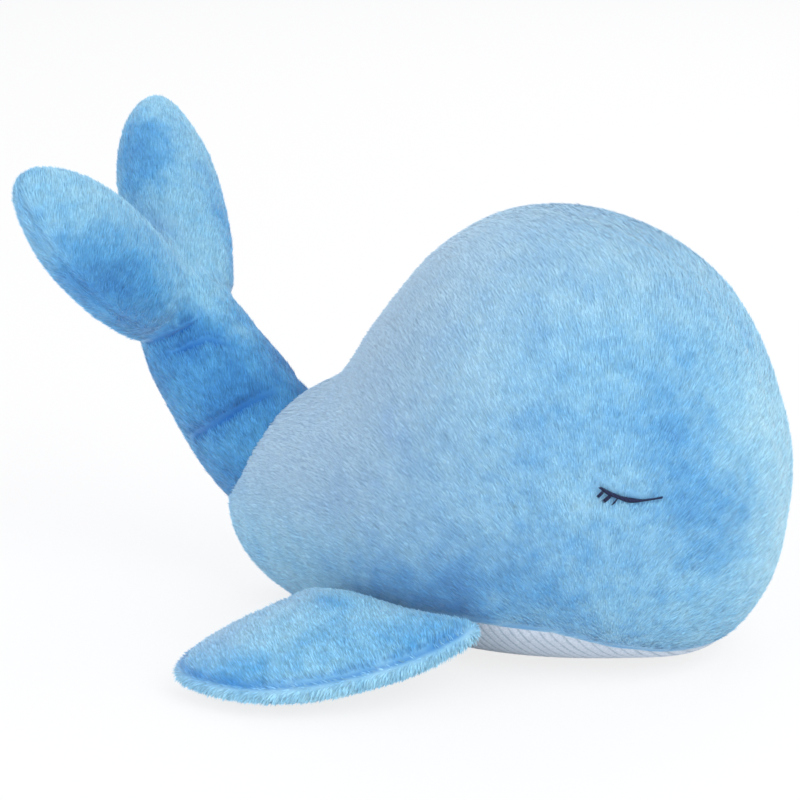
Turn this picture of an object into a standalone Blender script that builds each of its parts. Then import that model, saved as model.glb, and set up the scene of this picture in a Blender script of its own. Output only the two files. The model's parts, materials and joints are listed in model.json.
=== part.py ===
"""Plush whale: a sewn skin of plush panels over loose fill, with a bending tail and four soft limbs.

Metres, +Z up. +X is forward (the nose), +Y is the whale's left. The origin is on the floor
under the middle of the toy. Every form is a ball whose surface is moved by a few named sizes.
"""
import math

import bmesh
import bpy
import numpy as np

# Body: the side outline is given by its reach from the body's centre, per angle (0 nose, 90 crown).
body_reach = 0.1130
body_half_width = 0.0930
body_outline_degrees = [0, 15, 30, 45, 60, 75, 90, 105, 120, 135, 150, 161, 169, 175, 182, 189,
                        196, 204, 213, 225, 240, 270, 300, 315, 330, 345]
body_outline_shares = [1.0, 0.967, 0.960, 0.963, 0.954, 0.950, 0.952, 0.945, 0.903, 0.860, 0.860,
                       0.885, 0.947, 1.080, 1.250, 1.415, 1.520, 1.542, 1.474, 1.330, 1.097,
                       0.938, 0.991, 1.093, 1.076, 1.027]
body_width_shares = [0.55, 0.66, 0.78, 0.90, 0.98, 1.0, 0.94, 0.80]
body_width_span_shares = (-1.504, 1.018)
body_fullness = 2.3
body_calm_shares = (0.30, 0.90)
body_calm_degrees = 30.0
belly_level_share = -0.876
belly_rounding_radius = 0.0160
rest_flat_depth = 0.0005

# Sewn skin.
skin_thickness = 0.0030
seam_gap = 0.0003
fill_gap = 0.0008
joint_gap = 0.0006

# The seam between the blue sides and the pale belly, as (along, up) shares of the body's reach.
belly_seam_shares = [(-1.60, -1.000), (-1.30, -0.980), (-1.05, -0.910), (-0.84, -0.790),
                     (-0.62, -0.655), (-0.40, -0.588), (-0.007, -0.572), (0.147, -0.572), (0.281, -0.575),
                     (0.383, -0.609), (0.490, -0.650), (0.552, -0.660), (0.644, -0.690),
                     (0.727, -0.708), (0.814, -0.735), (1.10, -0.770)]

# Tail stock: a tapering limb on a round root, as shares of the body's reach from its centre.
tail_root_shares = (-1.352, -0.102)
tail_root_radius = 0.0365
tail_root_half_width = 0.0350
tail_spine_shares = [(-1.130, -0.290), (-1.352, -0.102), (-1.505, 0.075), (-1.630, 0.255),
                     (-1.740, 0.500)]
tail_half_width = 0.0335
tail_width_shares = [1.0, 1.0, 0.97, 0.94, 0.91]
tail_half_depth = 0.0315
tail_depth_shares = [1.12, 1.06, 0.96, 0.91, 0.88]
tail_end_roundness = 0.25
tail_root_angle_degrees = 139.8

# Flukes: two lobes in one plane, on a second round root.
fluke_root_shares = (-1.675, 0.321)
fluke_root_radius = 0.0270
fluke_root_half_width = 0.0325
fluke_pitch_degrees = 57.7
fluke_length_right = 0.0941
fluke_length_left = 0.1115
fluke_spread_share = 0.744
fluke_spine_shares = [(-0.32, 0.155), (0.08, 0.24), (0.36, 0.395), (0.69, 0.675), (0.97, 0.955)]
fluke_half_width = 0.0325
fluke_width_shares = [0.72, 0.825, 0.985, 0.995, 0.86]
fluke_half_depth = 0.0222
fluke_depth_shares = [1.05, 1.04, 1.01, 1.05, 0.93]
fluke_end_roundness = 0.45
fluke_tip_crowding_share = 0.56
fluke_base_rounding_radius = 0.0050
fluke_rim_degrees = 17.0

# Fins: flat pillows on the belly seam; the outline is (forward, outward) shares of the fin's length.
fin_length = 0.1100
fin_half_thickness = 0.0130
fin_outline_shares = [(0.49, -0.33), (0.48, -0.14), (0.43, 0.00), (0.35, 0.12), (0.24, 0.24),
                      (0.08, 0.37), (-0.09, 0.45), (-0.30, 0.47), (-0.465, 0.435), (-0.55, 0.32),
                      (-0.55, 0.13), (-0.505, -0.03), (-0.43, -0.19), (-0.36, -0.33),
                      (-0.09, -0.36), (0.24, -0.35)]
fin_fullness = 2.2
fin_root_shares = (-0.430, -0.578)
fin_centre_out_share = 0.36
fin_yaw_degrees = 13.2
fin_slope_degrees = 1.2
fin_droop_degrees = 12.0
fin_root_angle_degrees = 38.0
fin_root_radius = 0.0018
fin_seam_gap = 0.0007
fin_floor_gap = 0.0006
fin_floor_rounding_radius = 0.0030

# Embroidered eyes, as (along, up) shares of the body's reach.
eye_line_shares = [(0.499, 0.070), (0.538, 0.042), (0.582, 0.022), (0.608, 0.0135),
                   (0.637, 0.011), (0.669, 0.0135), (0.700, 0.0165)]
eye_lash_shares = [((0.512, 0.056), (0.490, 0.030)), ((0.538, 0.040), (0.509, 0.011)),
                   ((0.562, 0.029), (0.539, -0.003))]
eye_stitch_radius = 0.0009
eye_lash_radius = 0.0006

# Mesh fineness: points around and along each form.
body_fineness = (34, 19)
body_inner_fineness = (24, 14)
root_fineness = (24, 8)
limb_fineness = (18, 12)
limb_inner_fineness = (14, 9)
fin_fineness = (24, 10)
fin_inner_fineness = (16, 6)
outline_steps = 12
flank_steps = 30
overrun = 0.4000

plush_blue = (0.227, 0.485, 0.768, 1.0)
tail_blue = (0.130, 0.345, 0.665, 1.0)
belly_white = (0.565, 0.625, 0.725, 1.0)
fill_white = (0.85, 0.85, 0.83, 1.0)
thread_navy = (0.012, 0.016, 0.045, 1.0)


def line_values(shares, t):
    """Read a smooth curve through equally spaced values at the places t, from 0 to 1."""
    v = np.asarray(shares, float)
    last = len(v) - 1
    s = np.clip(t, 0.0, 1.0) * last
    i = np.minimum(np.floor(s).astype(int), last - 1)
    f = s - i
    pad = np.concatenate([[2 * v[0] - v[1]], v, [2 * v[-1] - v[-2]]])
    p0 = pad[i]
    p1 = pad[i + 1]
    p2 = pad[i + 2]
    p3 = pad[i + 3]
    slope = (p2 - p0) * f
    bend = (2 * p0 - 5 * p1 + 4 * p2 - p3) * f ** 2
    twist = (3 * p1 - p0 - 3 * p2 + p3) * f ** 3
    return 0.5 * (2 * p1 + slope + bend + twist)


def ring_reach(points, angles):
    """Read how far a smooth closed outline reaches from its centre in each direction."""
    p = np.asarray(points, float)
    f = (np.arange(outline_steps) / outline_steps)[None, :, None]
    p0 = np.roll(p, 1, 0)[:, None]
    p1 = p[:, None]
    p2 = np.roll(p, -1, 0)[:, None]
    p3 = np.roll(p, -2, 0)[:, None]
    slope = (p2 - p0) * f
    bend = (2 * p0 - 5 * p1 + 4 * p2 - p3) * f ** 2
    twist = (3 * p1 - p0 - 3 * p2 + p3) * f ** 3
    dense = (0.5 * (2 * p1 + slope + bend + twist)).reshape(-1, 2)
    turn = np.arctan2(dense[:, 1], dense[:, 0])
    order = np.argsort(turn)
    turn = turn[order]
    reach = np.hypot(dense[:, 0], dense[:, 1])[order]
    turns = np.concatenate([turn - 2 * math.pi, turn, turn + 2 * math.pi])
    return np.interp(angles, turns, np.tile(reach, 3))


def soft_floor(height, softness):
    """Ease heights that fall below zero, so that a soft form lies flat there."""
    return 0.5 * (height + np.sqrt(height ** 2 + softness ** 2))


def outline_points(degrees, shares, size):
    """Turn an outline given by angle and reach into points."""
    turn = np.radians(degrees)
    reach = np.asarray(shares) * size
    return np.stack([reach * np.cos(turn), reach * np.sin(turn)], -1)


body_outline = outline_points(body_outline_degrees, body_outline_shares, body_reach)
belly_level = belly_level_share * body_reach


def body_reach_at(turn, round_share):
    """How far the body goes in a direction: its outline at the rim, a calmer one on the flank."""
    outer = ring_reach(body_outline, turn)
    wide = math.radians(body_calm_degrees)
    near = [ring_reach(body_outline, turn + share * wide) for share in (-1, -0.5, 0, 0.5, 1)]
    low, high = body_calm_shares
    t = np.clip((round_share - low) / (high - low), 0, 1)
    rim = t * t * (3 - 2 * t)
    return (outer * rim + sum(near) / len(near) * (1 - rim)) * round_share


def body_form(n):
    """The body: an egg with a high crown that tapers to the tail and lies flat on its belly."""
    turn = np.arctan2(n[:, 2], n[:, 0])
    round_share = np.hypot(n[:, 0], n[:, 2]) ** (2 / body_fullness)
    reach = body_reach_at(turn, round_share)
    x = reach * np.cos(turn)
    z = belly_level + soft_floor(reach * np.sin(turn) - belly_level, belly_rounding_radius)
    front = body_width_span_shares[1] * body_reach
    rear = body_width_span_shares[0] * body_reach
    width = body_half_width * line_values(body_width_shares, (x - rear) / (front - rear))
    y = width * np.sign(n[:, 1]) * np.abs(n[:, 1]) ** (2 / body_fullness)
    return np.stack([x, y, z], -1)


def flank_y(x, z):
    """Half the body's width at a place on its side."""
    above = z - belly_level
    eased = above - belly_rounding_radius ** 2 / (4 * above)
    height = belly_level + eased
    turn = np.array([math.atan2(height, x)])
    low, high = 0.0, 1.0
    for _ in range(flank_steps):
        share = (low + high) / 2
        inside = body_reach_at(turn, share)[0] < math.hypot(x, height)
        low, high = (share, high) if inside else (low, share)
    depth = math.sqrt(max(0.0, 1 - share ** body_fullness))
    front = body_width_span_shares[1] * body_reach
    rear = body_width_span_shares[0] * body_reach
    width = line_values(body_width_shares, np.array([(x - rear) / (front - rear)]))[0]
    return body_half_width * width * depth ** (2 / body_fullness)


def limb_form(n, spine, side, widths, depths, roundness, crowding):
    """A stuffed limb: round ends, with an oval section at each place along its spine."""
    t = np.arccos(np.clip(n[:, 1], -1, 1)) / math.pi
    t = t + crowding * np.sin(math.pi * t) / math.pi
    places = np.asarray(spine, float)
    step = 1 / 512
    centre = np.stack([line_values(places[:, k], t) for k in range(3)], -1)
    ahead = np.stack([line_values(places[:, k], np.clip(t + step, 0, 1)) for k in range(3)], -1)
    behind = np.stack([line_values(places[:, k], np.clip(t - step, 0, 1)) for k in range(3)], -1)
    along = ahead - behind
    along /= np.linalg.norm(along, axis=1, keepdims=True)
    across = side - along * (along @ side)[:, None]
    across /= np.linalg.norm(across, axis=1, keepdims=True)
    up = np.cross(along, across)
    turn = np.arctan2(n[:, 2], n[:, 0])
    end = np.clip(np.sin(math.pi * t), 0, 1) ** roundness
    wide = line_values(widths, t) * end * np.cos(turn)
    deep = line_values(depths, t) * end * np.sin(turn)
    return centre + across * wide[:, None] + up * deep[:, None]


def keep_ahead(points, centre, direction, softness):
    """Ease a form so that none of it lies behind a plane."""
    past = (points - centre) @ direction
    return points + (soft_floor(past, softness) - past)[:, None] * direction


def tail_root_form(n):
    """The round root on which the tail stock turns, sunk into the rear of the body."""
    x = tail_root_shares[0] * body_reach + tail_root_radius * n[:, 0]
    z = tail_root_shares[1] * body_reach + tail_root_radius * n[:, 2]
    return np.stack([x, tail_root_half_width * n[:, 1], z], -1)


fluke_pitch = math.radians(fluke_pitch_degrees)
fluke_along = np.array([-math.cos(fluke_pitch), 0.0, math.sin(fluke_pitch)])
fluke_up = np.array([math.sin(fluke_pitch), 0.0, math.cos(fluke_pitch)])
fluke_root = np.array([fluke_root_shares[0], 0.0, fluke_root_shares[1]]) * body_reach
fluke_rim = fluke_root_radius * math.sin(math.radians(fluke_rim_degrees))


def fluke_root_form(n):
    """The round root on which the flukes turn, sunk into the end of the tail stock."""
    x = fluke_root[0] + fluke_root_radius * n[:, 0]
    z = fluke_root[2] + fluke_root_radius * n[:, 2]
    return np.stack([x, fluke_root_half_width * n[:, 1], z], -1)


def tail_form(n):
    """The tail stock, from its round root up to the rim under the flukes."""
    spine = [(a * body_reach, 0.0, b * body_reach) for a, b in tail_spine_shares]
    widths = np.asarray(tail_width_shares) * tail_half_width
    depths = np.asarray(tail_depth_shares) * tail_half_depth
    points = limb_form(n, spine, np.array([0.0, 1.0, 0.0]), widths, depths, tail_end_roundness, 0)
    root_place = np.array([tail_root_shares[0], 0.0, tail_root_shares[1]]) * body_reach
    root_turn = math.radians(tail_root_angle_degrees)
    outward = np.array([math.cos(root_turn), 0.0, math.sin(root_turn)])
    points = keep_ahead(points, root_place, outward, fluke_base_rounding_radius)
    rim = fluke_root - fluke_along * fluke_rim
    return keep_ahead(points, rim, -fluke_along, fluke_base_rounding_radius)


def lobe_form(n, length, side_sign):
    """One fluke lobe, leaning outward from the root in the flukes' plane."""
    spread = fluke_spread_share * length * side_sign
    spine = []
    for a, b in fluke_spine_shares:
        spine.append(fluke_root + fluke_along * (a * length) + np.array([0.0, b * spread, 0.0]))
    across = np.cross(spine[-1] - spine[0], fluke_up)
    widths = np.asarray(fluke_width_shares) * fluke_half_width
    depths = np.asarray(fluke_depth_shares) * fluke_half_depth
    points = limb_form(n, spine, across, widths, depths, fluke_end_roundness,
                       fluke_tip_crowding_share)
    return keep_ahead(points, fluke_root, fluke_along, fluke_base_rounding_radius)


sample = bmesh.new()
bmesh.ops.create_uvsphere(sample, u_segments=72, v_segments=36, radius=1.0)
directions = np.array([v.co[:] for v in sample.verts])[:, [0, 2, 1]]
sample.free()
body_low = body_form(directions)[:, 2].min()
body_front = body_form(directions)[:, 0].max()
lobe_rear = min(lobe_form(directions, fluke_length_left, 1)[:, 0].min(),
                lobe_form(directions, fluke_length_right, -1)[:, 0].min())
centre_x = -(body_front + lobe_rear) / 2
centre_z = -body_low - rest_flat_depth
centre = np.array([centre_x, 0.0, centre_z])

fin_yaw = math.radians(fin_yaw_degrees)
fin_slope = math.radians(fin_slope_degrees)
fin_droop = math.radians(fin_droop_degrees)
fin_u = np.array([math.cos(fin_yaw) * math.cos(fin_slope),
                  -math.sin(fin_yaw) * math.cos(fin_slope), math.sin(fin_slope)])
fin_flat = np.array([-math.sin(fin_yaw), -math.cos(fin_yaw), 0.0])
fin_v = fin_flat * math.cos(fin_droop) + np.array([0.0, 0.0, -math.sin(fin_droop)])
fin_v = fin_v - fin_u * (fin_u @ fin_v)
fin_v /= np.linalg.norm(fin_v)
fin_n = np.cross(fin_v, fin_u)
fin_root_x = fin_root_shares[0] * body_reach
fin_root_z = fin_root_shares[1] * body_reach
fin_root_y = -flank_y(fin_root_x, fin_root_z) - fin_seam_gap - fin_root_radius
fin_root = np.array([fin_root_x, fin_root_y, fin_root_z])
fin_centre = fin_root + fin_v * (fin_centre_out_share * fin_length - fin_root_radius)


def fin_layer(inset, side_sign):
    """A fin, or its inside drawn in by an inset: thin where it is sewn in, flat on the floor."""
    outline = np.asarray(fin_outline_shares) * (fin_length - 4 * inset)
    thickness = fin_half_thickness - inset
    least = (2 * skin_thickness - inset) / 10
    root_slope = math.tan(math.radians(fin_root_angle_degrees))
    drawn_in = inset / math.cos(math.radians(fin_root_angle_degrees))
    mirror = np.array([1.0, side_sign, 1.0])

    def form(n):
        """The pillow itself, right side first."""
        turn = np.arctan2(n[:, 2], n[:, 0])
        round_share = np.hypot(n[:, 0], n[:, 2]) ** (2 / fin_fullness)
        reach = ring_reach(outline, turn) * round_share
        forward = reach * np.cos(turn)
        outward = reach * np.sin(turn)
        rise = thickness * np.sign(n[:, 1]) * np.abs(n[:, 1]) ** (2 / fin_fullness)
        from_root = outward + fin_centre_out_share * fin_length
        limit = np.maximum(root_slope * from_root - drawn_in, least)
        rise = rise / np.sqrt(1 + (rise / limit) ** 2)
        points = fin_centre + np.outer(forward, fin_u) + np.outer(outward, fin_v)
        points = points + np.outer(rise, fin_n)
        floor = fin_floor_gap + inset - centre_z
        points[:, 2] = floor + soft_floor(points[:, 2] - floor, fin_floor_rounding_radius)
        return points * mirror

    return form


def material(name, colour, roughness):
    """A plain cloth, thread or fill material."""
    made = bpy.data.materials.new(name)
    made.use_nodes = True
    shader = made.node_tree.nodes["Principled BSDF"]
    shader.inputs["Base Color"].default_value = colour
    shader.inputs["Roughness"].default_value = roughness
    shader.inputs["Metallic"].default_value = 0.0
    made.diffuse_color = colour
    return made


for old in list(bpy.data.objects):
    bpy.data.objects.remove(old, do_unlink=True)
whale = bpy.data.collections.new("plush_whale")
cutters = bpy.data.collections.new("cutters")
bpy.context.scene.collection.children.link(whale)
bpy.context.scene.collection.children.link(cutters)


def add_cutter(name, mesh):
    """Keep a helper solid out of the model."""
    helper = bpy.data.objects.new(name, mesh)
    helper.hide_render = True
    helper.display_type = "WIRE"
    cutters.objects.link(helper)
    return helper


def soft_solid(name, form, fineness, inset):
    """A ball reshaped by a form, drawn in by an inset along its own surface."""
    ball = bmesh.new()
    bmesh.ops.create_uvsphere(ball, u_segments=fineness[0], v_segments=fineness[1], radius=1.0)
    n = np.array([v.co[:] for v in ball.verts])[:, [0, 2, 1]]
    for vertex, place in zip(ball.verts, form(n) + centre):
        vertex.co = place
    bmesh.ops.triangulate(ball, faces=ball.faces, quad_method="FIXED")
    ball.normal_update()
    bmesh.ops.recalc_face_normals(ball, faces=ball.faces)
    ball.normal_update()
    moved = [v.co - v.normal * inset for v in ball.verts]
    for vertex, place in zip(ball.verts, moved):
        vertex.co = place
    mesh = bpy.data.meshes.new(name)
    ball.to_mesh(mesh)
    ball.free()
    return add_cutter(name, mesh)


def prism(name, outline, low, high):
    """A side outline of (x, z) points stretched from y low to y high."""
    shape = bmesh.new()
    verts = [shape.verts.new((x, low, z)) for x, z in outline]
    face = shape.faces.new(verts)
    grown = bmesh.ops.extrude_face_region(shape, geom=[face])
    for item in grown["geom"]:
        if isinstance(item, bmesh.types.BMVert):
            item.co.y = high
    shape.normal_update()
    bmesh.ops.recalc_face_normals(shape, faces=shape.faces)
    mesh = bpy.data.meshes.new(name)
    shape.to_mesh(mesh)
    shape.free()
    return add_cutter(name, mesh)


def add_boolean(target, operation, tool):
    """Cut, join or trim one solid with another."""
    step = target.modifiers.new(tool.name, "BOOLEAN")
    step.operation = operation
    step.solver = "EXACT"
    step.object = tool


def joined(name, *solids):
    """One helper solid from several that overlap."""
    base = add_cutter(name + "_base", solids[0].data.copy())
    for solid in solids[1:]:
        add_boolean(base, "UNION", solid)
    graph = bpy.context.evaluated_depsgraph_get()
    mesh = bpy.data.meshes.new_from_object(base.evaluated_get(graph))
    bpy.data.objects.remove(base, do_unlink=True)
    return add_cutter(name, mesh)


def add_axis(name, place):
    """An empty on a joint's axis."""
    axis = bpy.data.objects.new(name, None)
    axis.location = place
    whale.objects.link(axis)
    return axis


def add_node(name, start, look, steps, axis):
    """One physical piece: a starting solid with its cuts, held by its joint's empty."""
    mesh = start.data.copy()
    mesh.name = name
    mesh.materials.clear()
    mesh.materials.append(look)
    piece = bpy.data.objects.new(name, mesh)
    whale.objects.link(piece)
    for operation, tool in steps:
        add_boolean(piece, operation, tool)
    if axis is not None:
        piece.parent = axis
        piece.location = -axis.location
    return piece


core_inset = skin_thickness + fill_gap
insets = {"skin": 0.0, "inside": skin_thickness, "fill": core_inset}
body = {"skin": soft_solid("body_skin", body_form, body_fineness, insets["skin"]),
        "inside": soft_solid("body_inside", body_form, body_inner_fineness, insets["inside"]),
        "fill": soft_solid("body_core", body_form, body_inner_fineness, insets["fill"])}

tail_socket = soft_solid("tail_socket", tail_root_form, root_fineness, -joint_gap)
fluke_socket = soft_solid("fluke_socket", fluke_root_form, root_fineness, -joint_gap)

limb_fine = {"skin": limb_fineness, "inside": limb_inner_fineness, "fill": limb_inner_fineness}
fin_fine = {"skin": fin_fineness, "inside": fin_inner_fineness, "fill": fin_inner_fineness}
tail = {}
lobes = {"right": {}, "left": {}}
fins = {"right": {}, "left": {}}


def right_lobe(n):
    """The lobe on the whale's right."""
    return lobe_form(n, fluke_length_right, -1)


def left_lobe(n):
    """The lobe on the whale's left."""
    return lobe_form(n, fluke_length_left, 1)


for layer, inset in insets.items():
    root = soft_solid("form_tail_root_" + layer, tail_root_form, root_fineness, inset)
    stock = soft_solid("form_tail_stock_" + layer, tail_form, limb_fine[layer], inset)
    tail[layer] = joined("form_tail_" + layer, stock, root)
    root = soft_solid("form_fluke_root_" + layer, fluke_root_form, root_fineness, inset)
    for side, form in (("right", right_lobe), ("left", left_lobe)):
        lobe = soft_solid("form_lobe_" + side + "_" + layer, form, limb_fine[layer], inset)
        lobes[side][layer] = joined("form_fluke_" + side + "_" + layer, lobe, root)
    for side, sign in (("right", 1.0), ("left", -1.0)):
        form = fin_layer(inset, sign)
        fins[side][layer] = soft_solid("form_fin_" + side + "_" + layer, form, fin_fine[layer], 0.0)

half_seam = seam_gap / 2
seam = [(a * body_reach + centre_x, b * body_reach + centre_z) for a, b in belly_seam_shares]
above = [(x, z + half_seam) for x, z in seam] + [(seam[-1][0], overrun), (seam[0][0], overrun)]
below = [(x, z - half_seam) for x, z in seam] + [(seam[-1][0], -overrun), (seam[0][0], -overrun)]
block = [(-overrun, -overrun), (overrun, -overrun), (overrun, overrun), (-overrun, overrun)]
flank_right = prism("flank_right", above, -overrun, -half_seam)
flank_left = prism("flank_left", above, half_seam, overrun)
belly_zone = prism("belly_zone", below, -overrun, overrun)
half_right = prism("half_right", block, -overrun, -half_seam)
half_left = prism("half_left", block, half_seam, overrun)
ground = [(-overrun, 0.0), (overrun, 0.0), (overrun, -overrun), (-overrun, -overrun)]
floor_cut = prism("floor_cut", ground, -overrun, overrun)


def lobe_zone(name, low_out, high_out, low, high):
    """A block on one face of the flukes' plane."""
    corners = []
    for a, b in ((-overrun, low_out), (overrun, low_out), (overrun, high_out), (-overrun, high_out)):
        place = fluke_root + centre + fluke_along * a + fluke_up * b
        corners.append((place[0], place[2]))
    return prism(name, corners, low, high)


plush = material("blue_plush", plush_blue, 0.95)
deep_plush = material("deep_blue_plush", tail_blue, 0.95)
belly_cloth = material("ribbed_belly_cloth", belly_white, 0.9)
fibre = material("polyester_fill", fill_white, 1.0)
thread = material("navy_thread", thread_navy, 0.6)

tail_place = np.array([tail_root_shares[0] * body_reach, 0.0, tail_root_shares[1] * body_reach])
tail_axis = add_axis("tail_axis", tail_place + centre)
fluke_axis = add_axis("fluke_axis", fluke_root + centre)
fin_place = fin_root + centre
fin_axes = {"right": add_axis("fin_axis_right", fin_place),
            "left": add_axis("fin_axis_left", fin_place * np.array([1.0, -1.0, 1.0]))}

cut = "DIFFERENCE"
keep = "INTERSECT"
add_node("body_side_right", body["skin"], plush,
         [(cut, body["inside"]), (keep, flank_right), (cut, tail_socket)], None)
add_node("body_side_left", body["skin"], plush,
         [(cut, body["inside"]), (keep, flank_left), (cut, tail_socket)], None)
add_node("belly_panel", body["skin"], belly_cloth,
         [(cut, body["inside"]), (keep, belly_zone), (cut, tail_socket), (cut, floor_cut)], None)
add_node("body_fill", body["fill"], fibre, [(cut, tail_socket)], None)

add_node("tail_right", tail["skin"], deep_plush,
         [(cut, tail["inside"]), (keep, half_right), (cut, fluke_socket)], tail_axis)
add_node("tail_left", tail["skin"], deep_plush,
         [(cut, tail["inside"]), (keep, half_left), (cut, fluke_socket)], tail_axis)
add_node("tail_fill", tail["fill"], fibre, [(cut, fluke_socket)], tail_axis)

for side, half, low, high in (("right", half_right, -overrun, -half_seam),
                              ("left", half_left, half_seam, overrun)):
    top = lobe_zone("top_zone_" + side, half_seam, overrun, low, high)
    under = lobe_zone("under_zone_" + side, -overrun, -half_seam, low, high)
    shell = lobes[side]
    name = "fluke_" + side
    add_node(name + "_top", shell["skin"], plush,
             [(cut, shell["inside"]), (keep, top)], fluke_axis)
    add_node(name + "_under", shell["skin"], plush,
             [(cut, shell["inside"]), (keep, under)], fluke_axis)
    add_node(name + "_fill", shell["fill"], fibre, [(keep, half)], fluke_axis)


def fin_zone(name, side_sign, low_out, high_out):
    """A block above or below the fin's own plane."""
    box = bmesh.new()
    bmesh.ops.create_cube(box, size=1.0)
    middle = (low_out + high_out) / 2
    mirror = np.array([1.0, side_sign, 1.0])
    for vertex in box.verts:
        local = np.array(vertex.co[:])
        place = fin_centre + fin_u * (local[0] * overrun) + fin_v * (local[1] * overrun)
        place = place + fin_n * (middle + local[2] * (high_out - low_out)) + centre
        vertex.co = place * mirror
    box.normal_update()
    bmesh.ops.recalc_face_normals(box, faces=box.faces)
    mesh = bpy.data.meshes.new(name)
    box.to_mesh(mesh)
    box.free()
    return add_cutter(name, mesh)


for side, sign in (("right", 1.0), ("left", -1.0)):
    top = fin_zone("fin_top_" + side, sign, half_seam, overrun)
    under = fin_zone("fin_under_" + side, sign, -overrun, -half_seam)
    shell = fins[side]
    name = "fin_" + side
    add_node(name + "_top", shell["skin"], plush,
             [(cut, shell["inside"]), (keep, top)], fin_axes[side])
    add_node(name + "_under", shell["skin"], plush,
             [(cut, shell["inside"]), (keep, under)], fin_axes[side])
    add_node(name + "_fill", shell["fill"], fibre, [], fin_axes[side])


def flank_point(along_share, up_share, lift, side_sign):
    """A place on the body's side, raised off the cloth."""
    x = along_share * body_reach
    z = up_share * body_reach
    step = body_reach / 1000
    y = flank_y(x, z)
    slope_x = (flank_y(x + step, z) - flank_y(x - step, z)) / (2 * step)
    slope_z = (flank_y(x, z + step) - flank_y(x, z - step)) / (2 * step)
    normal = np.array([-slope_x, 1.0, -slope_z])
    normal /= np.linalg.norm(normal)
    place = np.array([x, y, z]) + normal * lift
    return (place * np.array([1.0, side_sign, 1.0])) + centre


def stitch(name, places, radius):
    """A raised line of thread as a closed tube."""
    curve = bpy.data.curves.new(name, "CURVE")
    curve.dimensions = "3D"
    curve.bevel_depth = radius
    curve.bevel_resolution = 1
    curve.use_fill_caps = True
    line = curve.splines.new("POLY")
    line.points.add(len(places) - 1)
    for point, place in zip(line.points, places):
        point.co = (place[0], place[1], place[2], 1.0)
    guide = bpy.data.objects.new(name, curve)
    cutters.objects.link(guide)
    graph = bpy.context.evaluated_depsgraph_get()
    mesh = bpy.data.meshes.new_from_object(guide.evaluated_get(graph))
    bpy.data.objects.remove(guide, do_unlink=True)
    weld = bmesh.new()
    weld.from_mesh(mesh)
    bmesh.ops.remove_doubles(weld, verts=weld.verts, dist=radius / 100)
    weld.normal_update()
    bmesh.ops.recalc_face_normals(weld, faces=weld.faces)
    weld.to_mesh(mesh)
    weld.free()
    return add_cutter(name, mesh)


for side, sign in (("right", -1.0), ("left", 1.0)):
    lift = eye_stitch_radius + seam_gap
    line = stitch("eye_line_" + side, [flank_point(a, b, lift, sign) for a, b in eye_line_shares],
                  eye_stitch_radius)
    lashes = []
    for number, ends in enumerate(eye_lash_shares):
        path = [flank_point(a, b, lift, sign) for a, b in ends]
        lashes.append(("UNION", stitch("lash_" + side + str(number), path, eye_lash_radius)))
    add_node("eye_" + side, line, thread, lashes, None)
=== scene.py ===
"""Plush whale: the sewn and stuffed toy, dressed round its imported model.

Metres, in the model's own frame: +X is the nose, +Y the whale's left, +Z up, the floor at zero.
Each stuffed chamber is one closed skin that stands a pile's depth inside its solid, and the
pile itself is a layer of small tufts that lean the way the cloth was brushed.
"""
import json
import logging
import math
from dataclasses import dataclass
from enum import Enum
from typing import Callable, Optional, Sequence

import bpy
import numpy as np
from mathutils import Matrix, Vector


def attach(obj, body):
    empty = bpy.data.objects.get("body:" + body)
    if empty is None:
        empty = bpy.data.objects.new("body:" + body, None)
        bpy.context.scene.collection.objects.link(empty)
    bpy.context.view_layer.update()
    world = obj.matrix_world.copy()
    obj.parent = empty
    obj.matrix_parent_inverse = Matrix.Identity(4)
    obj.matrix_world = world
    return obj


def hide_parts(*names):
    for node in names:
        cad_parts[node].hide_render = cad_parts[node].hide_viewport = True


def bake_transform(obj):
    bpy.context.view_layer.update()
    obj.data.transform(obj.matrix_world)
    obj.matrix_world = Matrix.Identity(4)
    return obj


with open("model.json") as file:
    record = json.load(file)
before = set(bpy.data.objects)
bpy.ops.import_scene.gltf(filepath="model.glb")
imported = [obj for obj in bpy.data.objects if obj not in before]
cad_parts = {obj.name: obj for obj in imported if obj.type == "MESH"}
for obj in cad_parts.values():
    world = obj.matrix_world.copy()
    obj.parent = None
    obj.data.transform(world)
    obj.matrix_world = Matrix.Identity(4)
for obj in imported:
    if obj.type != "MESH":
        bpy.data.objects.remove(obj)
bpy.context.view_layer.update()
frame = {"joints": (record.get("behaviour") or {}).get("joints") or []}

MM = 0.001
FLOOR_GAP = 0.2 * MM
LEVEL = np.array([0.0, 1.0, 0.0])

log = logging.getLogger("plush_whale")
Form = Callable[[np.ndarray], np.ndarray]
Colour = tuple[float, float, float, float]
Place = tuple[float, float, float]
Spots = Sequence[tuple[tuple[float, ...], float, float]]


# Small tools

def linear(hex_colour: str) -> Colour:
    """Turn an sRGB hex colour into Blender's linear colour.

    Args:
        hex_colour: six hex digits after a hash.

    Returns:
        Red, green, blue and an alpha of one.
    """
    made = []
    for start in (1, 3, 5):
        value = int(hex_colour[start:start + 2], 16) / 255
        made.append(value / 12.92 if value <= 0.04045 else ((value + 0.055) / 1.055) ** 2.4)
    return made[0], made[1], made[2], 1.0


def node(tree: bpy.types.NodeTree, kind: str, links: Optional[dict] = None,
         values: Optional[dict] = None, **settings: object) -> bpy.types.Node:
    """Add a node with its settings, socket values and incoming links.

    Args:
        tree: the node tree that takes it.
        kind: Blender's name for the node's type.
        links: output sockets by the name or number of the input that they feed.
        values: constants by the name or number of the input that they set.
        settings: the node's own properties.

    Returns:
        The new node.
    """
    made = tree.nodes.new(kind)
    for key, value in settings.items():
        setattr(made, key, value)
    for socket, value in (values or {}).items():
        made.inputs[socket].default_value = value
    for socket, source in (links or {}).items():
        tree.links.new(source, made.inputs[socket])
    return made


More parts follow.
